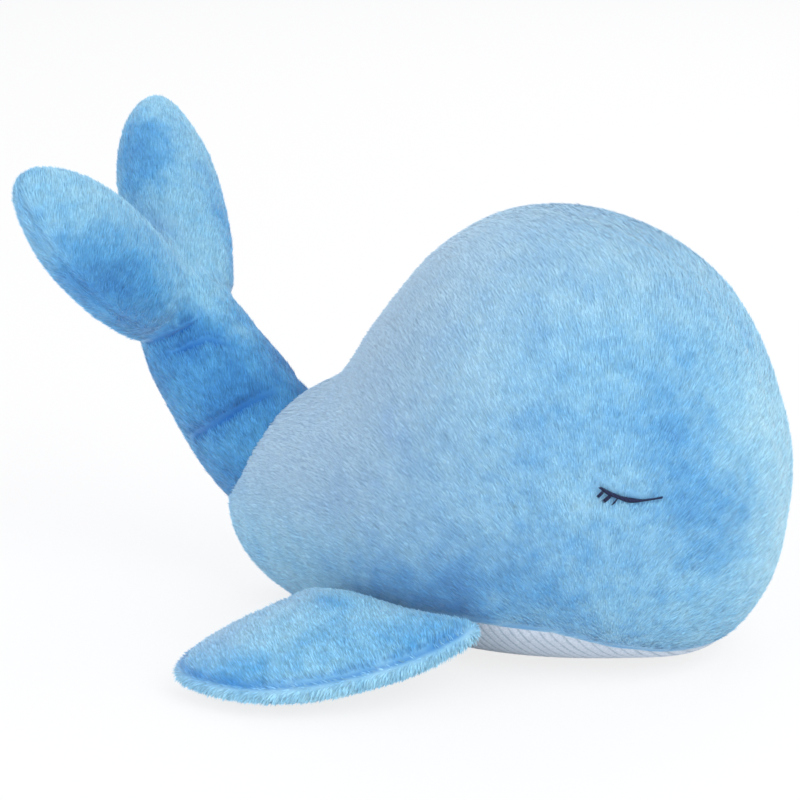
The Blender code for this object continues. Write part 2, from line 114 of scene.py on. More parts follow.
def new_material(name: str) -> tuple[bpy.types.Material, bpy.types.NodeTree]:
    """Make a material that uses nodes.

    Args:
        name: the material's name.

    Returns:
        The material and its node tree.
    """
    made = bpy.data.materials.new(name)
    made.use_nodes = True
    return made, made.node_tree


def deselect() -> None:
    """Leave nothing selected, so that the next operator acts on one thing."""
    bpy.ops.object.select_all(action="DESELECT")


def pick(obj: bpy.types.Object) -> None:
    """Select one object alone and make it the active one.

    Args:
        obj: the object.
    """
    deselect()
    obj.select_set(True)
    bpy.context.view_layer.objects.active = obj


def apply_modifiers(obj: bpy.types.Object) -> None:
    """Apply every modifier of an object, first to last.

    Args:
        obj: the object.
    """
    pick(obj)
    for modifier in list(obj.modifiers):
        bpy.ops.object.modifier_apply(modifier=modifier.name)


def face_outwards(obj: bpy.types.Object) -> None:
    """Turn all faces of a closed mesh outwards.

    Args:
        obj: the mesh.
    """
    pick(obj)
    bpy.ops.object.mode_set(mode="EDIT")
    bpy.ops.mesh.select_all(action="SELECT")
    bpy.ops.mesh.normals_make_consistent(inside=False)
    bpy.ops.object.mode_set(mode="OBJECT")


def clothe(obj: bpy.types.Object, material: bpy.types.Material) -> None:
    """Smooth a mesh and give it one material.

    Args:
        obj: the mesh.
        material: the material.
    """
    pick(obj)
    bpy.ops.object.shade_smooth()
    obj.data.materials.clear()
    obj.data.materials.append(material)


def joined(parts: Sequence[bpy.types.Object]) -> bpy.types.Object:
    """Join meshes into the first of them.

    Args:
        parts: the meshes.

    Returns:
        The one mesh.
    """
    deselect()
    for part in parts:
        part.select_set(True)
    bpy.context.view_layer.objects.active = parts[0]
    bpy.ops.object.join()
    return bpy.context.object


def copied(obj: bpy.types.Object, name: str) -> bpy.types.Object:
    """Copy an object with a mesh of its own.

    Args:
        obj: the object to copy.
        name: the new object's name.

    Returns:
        The copy, in the same collection.
    """
    made = obj.copy()
    made.data = obj.data.copy()
    made.name = name
    made.data.name = name
    bpy.context.scene.collection.objects.link(made)
    return made


def places(obj: bpy.types.Object) -> np.ndarray:
    """Read the places of a mesh's points.

    Args:
        obj: the mesh.

    Returns:
        One row of x, y and z for each point.
    """
    out = np.empty(len(obj.data.vertices) * 3)
    obj.data.vertices.foreach_get("co", out)
    return out.reshape(-1, 3)


def move(obj: bpy.types.Object, points: np.ndarray) -> None:
    """Put a mesh's points at new places."""
    obj.data.vertices.foreach_set("co", np.ascontiguousarray(points, float).ravel())
    obj.data.update()


def normals(obj: bpy.types.Object) -> np.ndarray:
    """Read the outward direction at each point of a mesh.

    Args:
        obj: the mesh.

    Returns:
        One row of x, y and z for each point.
    """
    obj.data.update()
    out = np.empty(len(obj.data.vertices) * 3)
    obj.data.vertex_normals.foreach_get("vector", out)
    return out.reshape(-1, 3)


def store(obj: bpy.types.Object, name: str, values: np.ndarray) -> None:
    """Keep a number or a direction at each point of a mesh, for its pile and its material.

    Args:
        obj: the mesh.
        name: what the number or direction is called.
        values: one number or one row of three for each point.
    """
    kind = "FLOAT" if values.ndim == 1 else "FLOAT_VECTOR"
    made = obj.data.attributes.get(name) or obj.data.attributes.new(name, kind, "POINT")
    made.data.foreach_set("value" if values.ndim == 1 else "vector",
                          np.ascontiguousarray(values, np.float32).ravel())


def hinge(name: str) -> tuple[np.ndarray, np.ndarray]:
    """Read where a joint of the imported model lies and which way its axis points."""
    joint = next(each for each in frame["joints"] if each["name"] == name)
    return np.array(joint["pos_m"], float), np.array(joint["axis"], float)


def smooth_step(values: np.ndarray, low: float, high: float) -> np.ndarray:
    """Rise smoothly from 0 at low to 1 at high."""
    t = np.clip((values - low) / (high - low), 0.0, 1.0)
    return t * t * (3 - 2 * t)


def unit(vectors: np.ndarray) -> np.ndarray:
    """Give each direction a length of one."""
    return vectors / np.maximum(np.linalg.norm(vectors, axis=-1, keepdims=True), 1e-9)


def along_skin(way: np.ndarray, out: np.ndarray) -> np.ndarray:
    """Turn directions until they lie along a skin whose outward directions are given."""
    return unit(way - out * np.sum(way * out, axis=1, keepdims=True))


def spot_tone(local: np.ndarray, spots: Spots) -> np.ndarray:
    """Add up soft round spots of tone.

    Args:
        local: rows of coordinates.
        spots: each spot's place, its size and its strength, in the same units.

    Returns:
        The tone at each row.
    """
    tone = np.zeros(len(local))
    for place, size, change in spots:
        far = np.linalg.norm(local - np.array(place), axis=1)
        tone += change * np.exp(-(far / size) ** 2)
    return tone


def line_values(shares: Sequence[float], t: np.ndarray) -> np.ndarray:
    """Read a smooth curve through equally spaced values.

    Args:
        shares: the values that the curve passes through.
        t: places along it, from 0 to 1.

    Returns:
        The curve's value at each place.
    """
    v = np.asarray(shares, float)
    last = len(v) - 1
    s = np.clip(t, 0.0, 1.0) * last
    i = np.minimum(np.floor(s).astype(int), last - 1)
    f = s - i
    pad = np.concatenate([[2 * v[0] - v[1]], v, [2 * v[-1] - v[-2]]])
    p0, p1, p2, p3 = pad[i], pad[i + 1], pad[i + 2], pad[i + 3]
    bend = (2 * p0 - 5 * p1 + 4 * p2 - p3) * f ** 2
    twist = (3 * p1 - p0 - 3 * p2 + p3) * f ** 3
    return 0.5 * (2 * p1 + (p2 - p0) * f + bend + twist)


def ring_points(points: np.ndarray, steps: int) -> np.ndarray:
    """Read a smooth closed curve through points.

    Args:
        points: the corners, in order round the ring.
        steps: how many places to read between two corners.

    Returns:
        The places, in order round the ring.
    """
    f = (np.arange(steps) / steps)[None, :, None]
    p0, p1 = np.roll(points, 1, 0)[:, None], points[:, None]
    p2, p3 = np.roll(points, -1, 0)[:, None], np.roll(points, -2, 0)[:, None]
    bend = (2 * p0 - 5 * p1 + 4 * p2 - p3) * f ** 2
    twist = (3 * p1 - p0 - 3 * p2 + p3) * f ** 3
    return (0.5 * (2 * p1 + (p2 - p0) * f + bend + twist)).reshape(-1, points.shape[1])


def open_curve(points: np.ndarray, steps: int) -> np.ndarray:
    """Read a smooth open curve through points, with some steps between each two."""
    t = np.linspace(0.0, 1.0, (len(points) - 1) * steps + 1)
    return np.stack([line_values(points[:, k], t) for k in range(points.shape[1])], -1)


def ring_reach(points: np.ndarray, angles: np.ndarray) -> np.ndarray:
    """Read how far a smooth closed outline reaches from its centre in each direction.

    Args:
        points: the outline's corners, in order round it.
        angles: the directions, in radians.

    Returns:
        The reach in each direction.
    """
    dense = ring_points(points, 24)
    turn = np.arctan2(dense[:, 1], dense[:, 0])
    order = np.argsort(turn)
    turn = turn[order]
    reach = np.hypot(dense[:, 0], dense[:, 1])[order]
    turns = np.concatenate([turn - 2 * math.pi, turn, turn + 2 * math.pi])
    return np.interp(angles, turns, np.tile(reach, 3))


def soft_floor(height: np.ndarray, softness: float) -> np.ndarray:
    """Ease heights that fall below zero, so that a soft form lies flat there."""
    return 0.5 * (height + np.sqrt(height ** 2 + softness ** 2))


def keep_ahead(points: np.ndarray, centre: np.ndarray, direction: np.ndarray,
               softness: float) -> np.ndarray:
    """Ease a form so that none of it lies behind a plane.

    Args:
        points: the form's points.
        centre: a place on the plane.
        direction: the way that the plane looks.
        softness: how wide the eased band is.

    Returns:
        The points, moved.
    """
    past = (points - centre) @ direction
    return points + (soft_floor(past, softness) - past)[:, None] * direction


def path_distance(points: np.ndarray, path: np.ndarray) -> np.ndarray:
    """Measure from points to the nearest place on a path of straight pieces.

    Args:
        points: rows of coordinates.
        path: the path's corners, with as many coordinates.

    Returns:
        Each point's distance.
    """
    best = np.full(len(points), 1e9)
    for a, b in zip(path[:-1], path[1:]):
        step = b - a
        t = np.clip((points - a) @ step / (step @ step), 0.0, 1.0)
        best = np.minimum(best, np.linalg.norm(points - a - t[:, None] * step, axis=1))
    return best


# Finishes

class Slot(Enum):
    """The record's material slots."""

    BLUE_PLUSH = "blue_plush"
    DEEP_PLUSH = "deep_blue_plush"
    BELLY_CLOTH = "belly_cloth"
    THREAD = "navy_thread"


@dataclass(frozen=True)
class PlushFinish:
    """Short-pile polyester plush: knitted, brushed and sheared, so it is matt, with a pale grey of
    painted sheen and nap mixed in.
    """

    name: str
    shadow: str = "#4B96D2"
    deep: str = "#62B0E2"
    mid: str = "#92CEEC"
    light: str = "#ACDEF2"
    pale: str = "#C4E6F3"
    # Painted shade: the colour that creases, seams and tucks are darkened towards.
    crease: str = "#2E78C2"
    # Painted sheen: the pale grey that the rear, the top and the fins' edges are mixed towards,
    # partly the pile's nap.
    bloom: str = "#B2C2D2"
    mottle_mm: float = 34.0
    patch_mm: float = 9.0
    sheen: float = 0.9
    dim_tuft: float = 0.72
    bright_tuft: float = 1.17

    def colour(self, tree: bpy.types.NodeTree) -> bpy.types.NodeSocket:
        """Mottle the cloth from deep to pale, with its tint, its painted sheen and the painted
        shade of its creases.

        Args:
            tree: the material's node tree.

        Returns:
            The socket that carries the cloth's colour.
        """
        here = node(tree, "ShaderNodeTexCoord").outputs["Object"]
        wide = node(tree, "ShaderNodeTexNoise", {"Vector": here},
                    {"Scale": 1 / (self.mottle_mm * MM), "Detail": 2.0, "Roughness": 0.55})
        fine = node(tree, "ShaderNodeTexNoise", {"Vector": here},
                    {"Scale": 1 / (self.patch_mm * MM), "Detail": 3.0, "Roughness": 0.6})
        both = node(tree, "ShaderNodeMath", {0: wide.outputs["Fac"], 1: fine.outputs["Fac"]},
                    {2: 0.0}, operation="ADD")
        spread = node(tree, "ShaderNodeMath", {0: both.outputs[0]}, {1: 0.55, 2: -0.02},
                      operation="MULTIPLY_ADD")
        tint = node(tree, "ShaderNodeAttribute", attribute_name="tint")
        level = node(tree, "ShaderNodeMath", {0: spread.outputs[0], 1: tint.outputs["Fac"]},
                     operation="ADD")
        ramp = node(tree, "ShaderNodeValToRGB", {"Fac": level.outputs[0]})
        stops = ((0.0, self.shadow), (0.24, self.deep), (0.52, self.mid), (0.78, self.light),
                 (1.0, self.pale))
        for number, (place, hexed) in enumerate(stops):
            elements = ramp.color_ramp.elements
            stop = elements[number] if number < 2 else elements.new(place)
            stop.position = place
            stop.color = linear(hexed)
        # Painted sheen: grey the colour towards the pale sheen colour, partly the pile's nap.
        greyed = node(tree, "ShaderNodeAttribute", attribute_name="bloom")
        sheened = node(tree, "ShaderNodeMix", {0: greyed.outputs["Fac"], 6: ramp.outputs["Color"]},
                     {7: linear(self.bloom)}, data_type="RGBA")
        # Painted shade: darken creases, seams, tucks and the pressed eye towards the crease colour.
        fold = node(tree, "ShaderNodeAttribute", attribute_name="fold")
        mixed = node(tree, "ShaderNodeMix", {0: fold.outputs["Fac"], 6: sheened.outputs[2]},
                     {7: linear(self.crease)}, data_type="RGBA")
        return mixed.outputs[2]

    def shader(self, tree: bpy.types.NodeTree, colour: bpy.types.NodeSocket) -> bpy.types.Node:
        """Finish the material with a matt, slightly sheeny cloth shader.

        Args:
            tree: the material's node tree.
            colour: the socket that carries the cloth's colour.

        Returns:
            The shader node.
        """
        shader = tree.nodes["Principled BSDF"]
        tree.links.new(colour, shader.inputs["Base Color"])
        shader.inputs["Roughness"].default_value = 0.88
        shader.inputs["Specular IOR Level"].default_value = 0.15
        shader.inputs["Sheen Weight"].default_value = self.sheen
        shader.inputs["Sheen Roughness"].default_value = 0.45
        shader.inputs["Sheen Tint"].default_value = linear("#D6EAF2")
        return shader

    def backing(self) -> bpy.types.Material:
        """Make the knitted ground under the pile, darker because little light reaches it.

        Returns:
            The material.
        """
        made, tree = new_material(self.name + "_knit_ground")
        dim = node(tree, "ShaderNodeMix", {6: self.colour(tree)}, {0: 1.0, 7: linear("#E2E6EE")},
                   data_type="RGBA", blend_type="MULTIPLY")
        shader = self.shader(tree, dim.outputs[2])
        here = node(tree, "ShaderNodeTexCoord").outputs["Object"]
        grain = node(tree, "ShaderNodeTexNoise", {"Vector": here},
                     {"Scale": 1 / (1.3 * MM), "Detail": 2.0})
        bump = node(tree, "ShaderNodeBump", {"Height": grain.outputs["Fac"]},
                    {"Strength": 0.6, "Distance": 0.5 * MM})
        tree.links.new(bump.outputs["Normal"], shader.inputs["Normal"])
        return made

    def pile(self) -> bpy.types.Material:
        """Make the pile's fibres: dimmed at the root by painted shade, full colour at the tip, each
        its own tone.

        Returns:
            The material.
        """
        made, tree = new_material(self.name + "_pile_fibre")
        tone = node(tree, "ShaderNodeAttribute", attribute_name="tone")
        along = node(tree, "ShaderNodeAttribute", attribute_name="along")
        # Painted shade: each tuft is darker at its root, where less light reaches.
        rise = node(tree, "ShaderNodeMapRange", {"Value": along.outputs["Fac"]},
                    {"From Min": 0.0, "From Max": 0.8, "To Min": 0.80, "To Max": 1.0})
        # Painted sheen also lifts the tufts' darkest tone.
        greyed = node(tree, "ShaderNodeAttribute", attribute_name="bloom")
        dark = node(tree, "ShaderNodeMath", {0: greyed.outputs["Fac"]}, {1: 0.26, 2: self.dim_tuft},
                    operation="MULTIPLY_ADD")
        lift = node(tree, "ShaderNodeMapRange",
                    {"Value": tone.outputs["Fac"], "To Min": dark.outputs[0]},
                    {"From Min": 0.0, "From Max": 1.0, "To Max": self.bright_tuft})
        level = node(tree, "ShaderNodeMath", {0: rise.outputs[0], 1: lift.outputs[0]},
                     operation="MULTIPLY")
        scaled = node(tree, "ShaderNodeVectorMath",
                      {0: self.colour(tree), "Scale": level.outputs[0]}, operation="SCALE")
        self.shader(tree, scaled.outputs[0])
        return made


@dataclass(frozen=True)
class RibbedClothFinish:
    """Knitted cotton jersey with sewn ribs: matt and pale, blue-grey down in their valleys."""

    name: str = "ribbed_jersey"
    crown: str = "#D3DBE6"
    valley: str = "#94A9BA"
    weave_mm: float = 0.9
    pitch: float = 4.3 * MM
    lean_degrees: float = 24.0

    def make(self) -> bpy.types.Material:
        """Colour the valleys between the ribs, which the mesh also has, over a fine knit.

        Returns:
            The material.
        """
        made, tree = new_material(self.name)
        shader = tree.nodes["Principled BSDF"]
        here = node(tree, "ShaderNodeTexCoord").outputs["Object"]
        lean = math.radians(self.lean_degrees)
        turns = Vector((math.cos(lean), 0.0, math.sin(lean))) * (2 * math.pi / self.pitch)
        phase = node(tree, "ShaderNodeVectorMath", {0: here}, {1: turns}, operation="DOT_PRODUCT")
        wave = node(tree, "ShaderNodeMath", {0: phase.outputs["Value"]}, operation="COSINE")
        half = node(tree, "ShaderNodeMath", {0: wave.outputs[0]}, {1: 0.5, 2: 0.5},
                    operation="MULTIPLY_ADD")
        rib = node(tree, "ShaderNodeMath", {0: half.outputs[0]}, {1: 8.0}, operation="POWER")
        cloud = node(tree, "ShaderNodeTexNoise", {"Vector": here}, {"Scale": 1 / (6 * MM)})
        knit = node(tree, "ShaderNodeTexNoise", {"Vector": here},
                    {"Scale": 1 / (self.weave_mm * MM), "Detail": 1.0})
        shade = node(tree, "ShaderNodeMath", {0: rib.outputs[0], 1: cloud.outputs["Fac"]},
                     {2: 0.0}, operation="MULTIPLY_ADD")
        tree.links.new(knit.outputs["Fac"], shade.inputs[2])
        level = node(tree, "ShaderNodeMapRange", {"Value": shade.outputs[0]},
                     {"From Min": 0.35, "From Max": 1.05, "To Min": 0.0, "To Max": 0.85})
        mixed = node(tree, "ShaderNodeMix", {0: level.outputs[0]},
                     {6: linear(self.crown), 7: linear(self.valley)}, data_type="RGBA")
        bump = node(tree, "ShaderNodeBump", {"Height": knit.outputs["Fac"]},
                    {"Strength": 0.35, "Distance": 0.3 * MM})
        tree.links.new(mixed.outputs[2], shader.inputs["Base Color"])
        tree.links.new(bump.outputs["Normal"], shader.inputs["Normal"])
        shader.inputs["Roughness"].default_value = 0.9
        shader.inputs["Sheen Weight"].default_value = 0.2
        return made


@dataclass(frozen=True)
class ThreadFinish:
    """Rayon embroidery thread: navy, twisted, with a slight lustre along each stitch."""

    name: str = "embroidery_thread"
    dark: str = "#0A1230"
    light: str = "#18244F"
    twist_mm: float = 0.5

    def make(self) -> bpy.types.Material:
        """Vary the thread's colour and height along its twist.

        Returns:
            The material.
        """
        made, tree = new_material(self.name)
        shader = tree.nodes["Principled BSDF"]
        here = node(tree, "ShaderNodeTexCoord").outputs["Object"]
        twist = node(tree, "ShaderNodeTexWave", {"Vector": here},
                     {"Scale": 1 / (self.twist_mm * MM) / 6.3, "Distortion": 2.0},
                     bands_direction="DIAGONAL")
        mixed = node(tree, "ShaderNodeMix", {0: twist.outputs["Fac"]},
                     {6: linear(self.dark), 7: linear(self.light)}, data_type="RGBA")
        bump = node(tree, "ShaderNodeBump", {"Height": twist.outputs["Fac"]},
                    {"Strength": 0.5, "Distance": 0.05 * MM})
        tree.links.new(mixed.outputs[2], shader.inputs["Base Color"])
        tree.links.new(bump.outputs["Normal"], shader.inputs["Normal"])
        shader.inputs["Roughness"].default_value = 0.55
        shader.inputs["Specular IOR Level"].default_value = 0.3
        return made


BLUE_PLUSH = PlushFinish("blue_plush")
FIN_PLUSH = PlushFinish("fin_blue_plush", dim_tuft=0.58, bright_tuft=1.28)
DEEP_PLUSH = PlushFinish("deep_blue_plush", dim_tuft=0.64, bright_tuft=1.22)


# Pile

@dataclass
class Pile:
    """A layer of tufts that leans along a skin's stored lay."""

    finish: PlushFinish
    length: float = 3.8 * MM
    width: float = 0.55 * MM
    ridge: float = 0.10 * MM
    lean_degrees: float = 12.0
    per_square_mm: float = 1.8
    clump: float = 0.19
    stray: float = 0.12
    clump_mm: float = 3.5
    bite: float = 0.25 * MM
    fray: float = 1.2 * MM
    widest: float = 0.42
    roll: float = 0.35
    least_scale: tuple[float, float, float] = (0.75, 0.70, 0.8)
    most_scale: tuple[float, float, float] = (1.3, 1.25, 1.2)
    tone_mm: float = 2.2
    shared_tone: float = 0.5
    own_tone: float = 0.7

    def tuft(self) -> bpy.types.Object:
        """Model one tuft: a slim leaf with a raised ridge, lying along +Y.

        Returns:
            The tuft, with its root at the origin.
        """
        deselect()
        bpy.ops.mesh.primitive_plane_add(size=1.0, location=(0.0, 0.0, 0.0))
        leaf = bpy.context.object
        leaf.name = "tuft"
        half, middle = self.width / 2, self.length * self.widest
        corners = np.array([(0.0, 0.0, 0.0), (half, middle, -self.ridge),
                            (-half, middle, -self.ridge), (0.0, self.length, -self.ridge)])
        move(leaf, corners)
        bpy.ops.object.mode_set(mode="EDIT")
        bpy.ops.mesh.select_all(action="SELECT")
        bpy.ops.mesh.quads_convert_to_tris(quad_method="FIXED", ngon_method="BEAUTY")
        bpy.ops.object.mode_set(mode="OBJECT")
        if not any({0, 3} <= set(edge.vertices) for edge in leaf.data.edges):
            bpy.ops.object.mode_set(mode="EDIT")
            bpy.ops.mesh.select_all(action="SELECT")
            bpy.ops.mesh.tris_convert_to_quads()
            bpy.ops.mesh.quads_convert_to_tris(quad_method="FIXED_ALTERNATE")
            bpy.ops.object.mode_set(mode="OBJECT")
        store(leaf, "along", np.array([0.0, self.widest, self.widest, 1.0]))
        return leaf

    def spreader(self, leaf: bpy.types.Object, seed: int) -> bpy.types.NodeTree:
        """Build the node tree that sows tufts over a skin.

        Args:
            leaf: the tuft that is sown.
            seed: the number that fixes every random choice.

        Returns:
            The tree, from a skin to its pile.
        """
        tree = bpy.data.node_groups.new("sow_tufts", "GeometryNodeTree")
        tree.interface.new_socket("Skin", in_out="INPUT", socket_type="NodeSocketGeometry")
        tree.interface.new_socket("Pile", in_out="OUTPUT", socket_type="NodeSocketGeometry")
        skin = node(tree, "NodeGroupInput")
        sown = node(tree, "GeometryNodeDistributePointsOnFaces", {"Mesh": skin.outputs[0]},
                    {"Density": self.per_square_mm / MM ** 2, "Seed": seed})
        cover = node(tree, "GeometryNodeInputNamedAttribute", None, {"Name": "cover"},
                     data_type="FLOAT")
        edge = node(tree, "FunctionNodeRandomValue", None,
                    {"Min": 0.0, "Max": self.fray, "Seed": seed + 1}, data_type="FLOAT")
        bare = node(tree, "FunctionNodeCompare",
                    {0: cover.outputs["Attribute"], 1: edge.outputs[1]}, data_type="FLOAT",
                    operation="LESS_THAN")
        kept = node(tree, "GeometryNodeDeleteGeometry",
                    {"Geometry": sown.outputs["Points"], "Selection": bare.outputs[0]},
                    domain="POINT")
        lay = node(tree, "GeometryNodeInputNamedAttribute", None, {"Name": "lay"},
                   data_type="FLOAT_VECTOR")
        noise = node(tree, "ShaderNodeTexNoise", None,
                     {"Scale": 1 / (self.clump_mm * MM), "Detail": 1.0})
        centred = node(tree, "ShaderNodeVectorMath", {0: noise.outputs["Color"]},
                       {1: (0.5, 0.5, 0.5)}, operation="SUBTRACT")
        clumped = node(tree, "ShaderNodeVectorMath", {0: centred.outputs[0]},
                       {"Scale": 2 * self.clump}, operation="SCALE")
        stray = node(tree, "FunctionNodeRandomValue", None,
                     {0: (-self.stray,) * 3, 1: (self.stray,) * 3, "Seed": seed + 2},
                     data_type="FLOAT_VECTOR")
        lean = math.radians(self.lean_degrees)
        flat = node(tree, "ShaderNodeVectorMath", {0: lay.outputs["Attribute"]},
                    {"Scale": math.cos(lean)}, operation="SCALE")
        raised = node(tree, "ShaderNodeVectorMath",
                      {0: sown.outputs["Normal"], 2: flat.outputs[0]},
                      {1: (math.sin(lean),) * 3}, operation="MULTIPLY_ADD")
        swept = node(tree, "ShaderNodeVectorMath", {0: raised.outputs[0], 1: clumped.outputs[0]},
                     operation="ADD")
        along = node(tree, "ShaderNodeVectorMath", {0: swept.outputs[0], 1: stray.outputs[0]},
                     operation="ADD")
        roll = node(tree, "FunctionNodeRandomValue", None,
                    {0: (-self.roll,) * 3, 1: (self.roll,) * 3, "Seed": seed + 3},
                    data_type="FLOAT_VECTOR")
        face = node(tree, "ShaderNodeVectorMath", {0: sown.outputs["Normal"], 1: roll.outputs[0]},
                    operation="ADD")
        turn = node(tree, "FunctionNodeAxesToRotation",
                    {"Primary Axis": along.outputs[0], "Secondary Axis": face.outputs[0]},
                    primary_axis="Y", secondary_axis="Z")
        size = node(tree, "FunctionNodeRandomValue", None,
                    {0: self.least_scale, 1: self.most_scale, "Seed": seed + 4},
                    data_type="FLOAT_VECTOR")
        bitten = node(tree, "ShaderNodeVectorMath", {0: sown.outputs["Normal"]},
                      {"Scale": -self.bite}, operation="SCALE")
        sunk = node(tree, "GeometryNodeSetPosition",
                    {"Geometry": kept.outputs[0], "Offset": bitten.outputs[0]})
        shape = node(tree, "GeometryNodeObjectInfo", None, {"Object": leaf, "As Instance": True})
        set_out = node(tree, "GeometryNodeInstanceOnPoints",
                       {"Points": sunk.outputs[0], "Instance": shape.outputs["Geometry"],
                        "Rotation": turn.outputs[0], "Scale": size.outputs[0]})
        own = node(tree, "FunctionNodeRandomValue", None,
                   {2: 0.0, 3: self.own_tone, "Seed": seed + 5}, data_type="FLOAT")
        shared = node(tree, "ShaderNodeTexNoise", None,
                      {"Scale": 1 / (self.tone_mm * MM), "Detail": 0.0})
        tone = node(tree, "ShaderNodeMath", {0: shared.outputs["Fac"], 2: own.outputs[1]},
                    {1: self.shared_tone}, operation="MULTIPLY_ADD")
        toned = node(tree, "GeometryNodeStoreNamedAttribute",
                     {"Geometry": set_out.outputs[0], "Value": tone.outputs[0]},
                     {"Name": "tone"}, data_type="FLOAT", domain="INSTANCE")
        real = node(tree, "GeometryNodeRealizeInstances", {"Geometry": toned.outputs[0]})
        node(tree, "NodeGroupOutput", {0: real.outputs[0]})
        return tree

    def bake_cells(self, pile: bpy.types.Object) -> None:
        """Give each tuft a small cell of its own in the map that a bake uses.

        Args:
            pile: the finished pile, two triangles to a tuft.
        """
        corners = 6
        tufts = len(pile.data.loops) // corners
        points = places(pile)
        first = np.empty(len(pile.data.loops), int)
        pile.data.loops.foreach_get("vertex_index", first)
        roots = points[first.reshape(-1, corners)[:, 0]]
        side = math.ceil(math.sqrt(tufts))
        rows = np.empty(tufts, int)
        rows[np.argsort(roots[:, 2], kind="stable")] = np.arange(tufts) // side
        order = np.lexsort((roots[:, 0], rows))
        cell = np.empty((tufts, 2))
        cell[order, 0] = np.arange(tufts) % side
        cell[order, 1] = rows[order]
        local = np.array([(0.1, 0.1), (0.9, 0.1), (0.9, 0.9), (0.1, 0.1), (0.9, 0.9), (0.1, 0.9)])
        uv = (cell[:, None, :] + local[None]) / side
        layer = pile.data.uv_layers.get("OFBake") or pile.data.uv_layers.new(name="OFBake")
        layer.data.foreach_set("uv", uv.reshape(-1).astype(np.float32))

    def grow(self, skin: bpy.types.Object, name: str, seed: int) -> bpy.types.Object:
        """Cover a skin with pile.

        Args:
            skin: a mesh that holds its lay and its cover at each point.
            name: the pile's name.
            seed: the number that fixes every random choice.

        Returns:
            The pile, as one mesh of its own.
        """
        leaf = self.tuft()
        pile = copied(skin, name)
        sow = pile.modifiers.new("sow", "NODES")
        sow.node_group = self.spreader(leaf, seed)
        apply_modifiers(pile)
        bpy.data.objects.remove(leaf, do_unlink=True)
        points = places(pile)
        points[:, 2] = np.maximum(points[:, 2], FLOOR_GAP)
        move(pile, points)
        for spare in ("lay", "cover"):
            attribute = pile.data.attributes.get(spare)
            if attribute is not None:
                pile.data.attributes.remove(attribute)
        self.bake_cells(pile)
        pile.data.materials.clear()
        pile.data.materials.append(self.finish.pile())
        log.info("%s: %d tufts", name, len(pile.data.polygons) // 2)
        return pile


# Stuffed forms

@dataclass
class Stuffed:
    """A closed skin over loose fill, made from a ball that a form reshapes."""

    name: str
    finish: PlushFinish
    slot: Slot
    nodes: tuple[str, ...]
    cuts: int = 40
    pile_depth: float = 1.2 * MM

    def ball(self, cuts: int) -> tuple[bpy.types.Object, np.ndarray]:
        """Make a ball of even squares.

        Args:
            cuts: how often each side of the starting cube is cut.

        Returns:
            The ball, and the direction of each of its points.
        """
        deselect()
        bpy.ops.mesh.primitive_cube_add(size=2.0, location=(0.0, 0.0, 0.0))
        ball = bpy.context.object
        ball.name = self.name
        ball.data.name = self.name
        bpy.ops.object.mode_set(mode="EDIT")
        bpy.ops.mesh.select_all(action="SELECT")
        bpy.ops.mesh.subdivide(number_cuts=cuts)
        bpy.ops.transform.tosphere(value=1.0)
        bpy.ops.object.mode_set(mode="OBJECT")
        return ball, unit(places(ball))

    def skin(self, form: Form) -> tuple[bpy.types.Object, np.ndarray]:
        """Reshape a ball by a form.

        Args:
            form: where each direction of the ball goes.

        Returns:
            The skin, and the ball's direction at each of its points.
        """
        ball, directions = self.ball(self.cuts)
        move(ball, form(directions))
        face_outwards(ball)
        return ball, directions

    def draw_in(self, skin: bpy.types.Object, depth: np.ndarray) -> None:
        """Move a skin inwards by a depth at each point."""
        move(skin, places(skin) - normals(skin) * depth[:, None])

    def dress(self, skin: bpy.types.Object) -> None:
        """Smooth a skin and give it the plush's knitted ground."""
        clothe(skin, self.finish.backing())

    def hand_over(self, piece: bpy.types.Object, fill: Optional[float]) -> None:
        """Hide the imported parts that a stuffed piece stands for.

        Args:
            piece: the piece; not used.
            fill: how full of stuffing it is, from 0 to 1, or None for pile.
        """
        if fill is not None:
            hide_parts(*self.nodes)


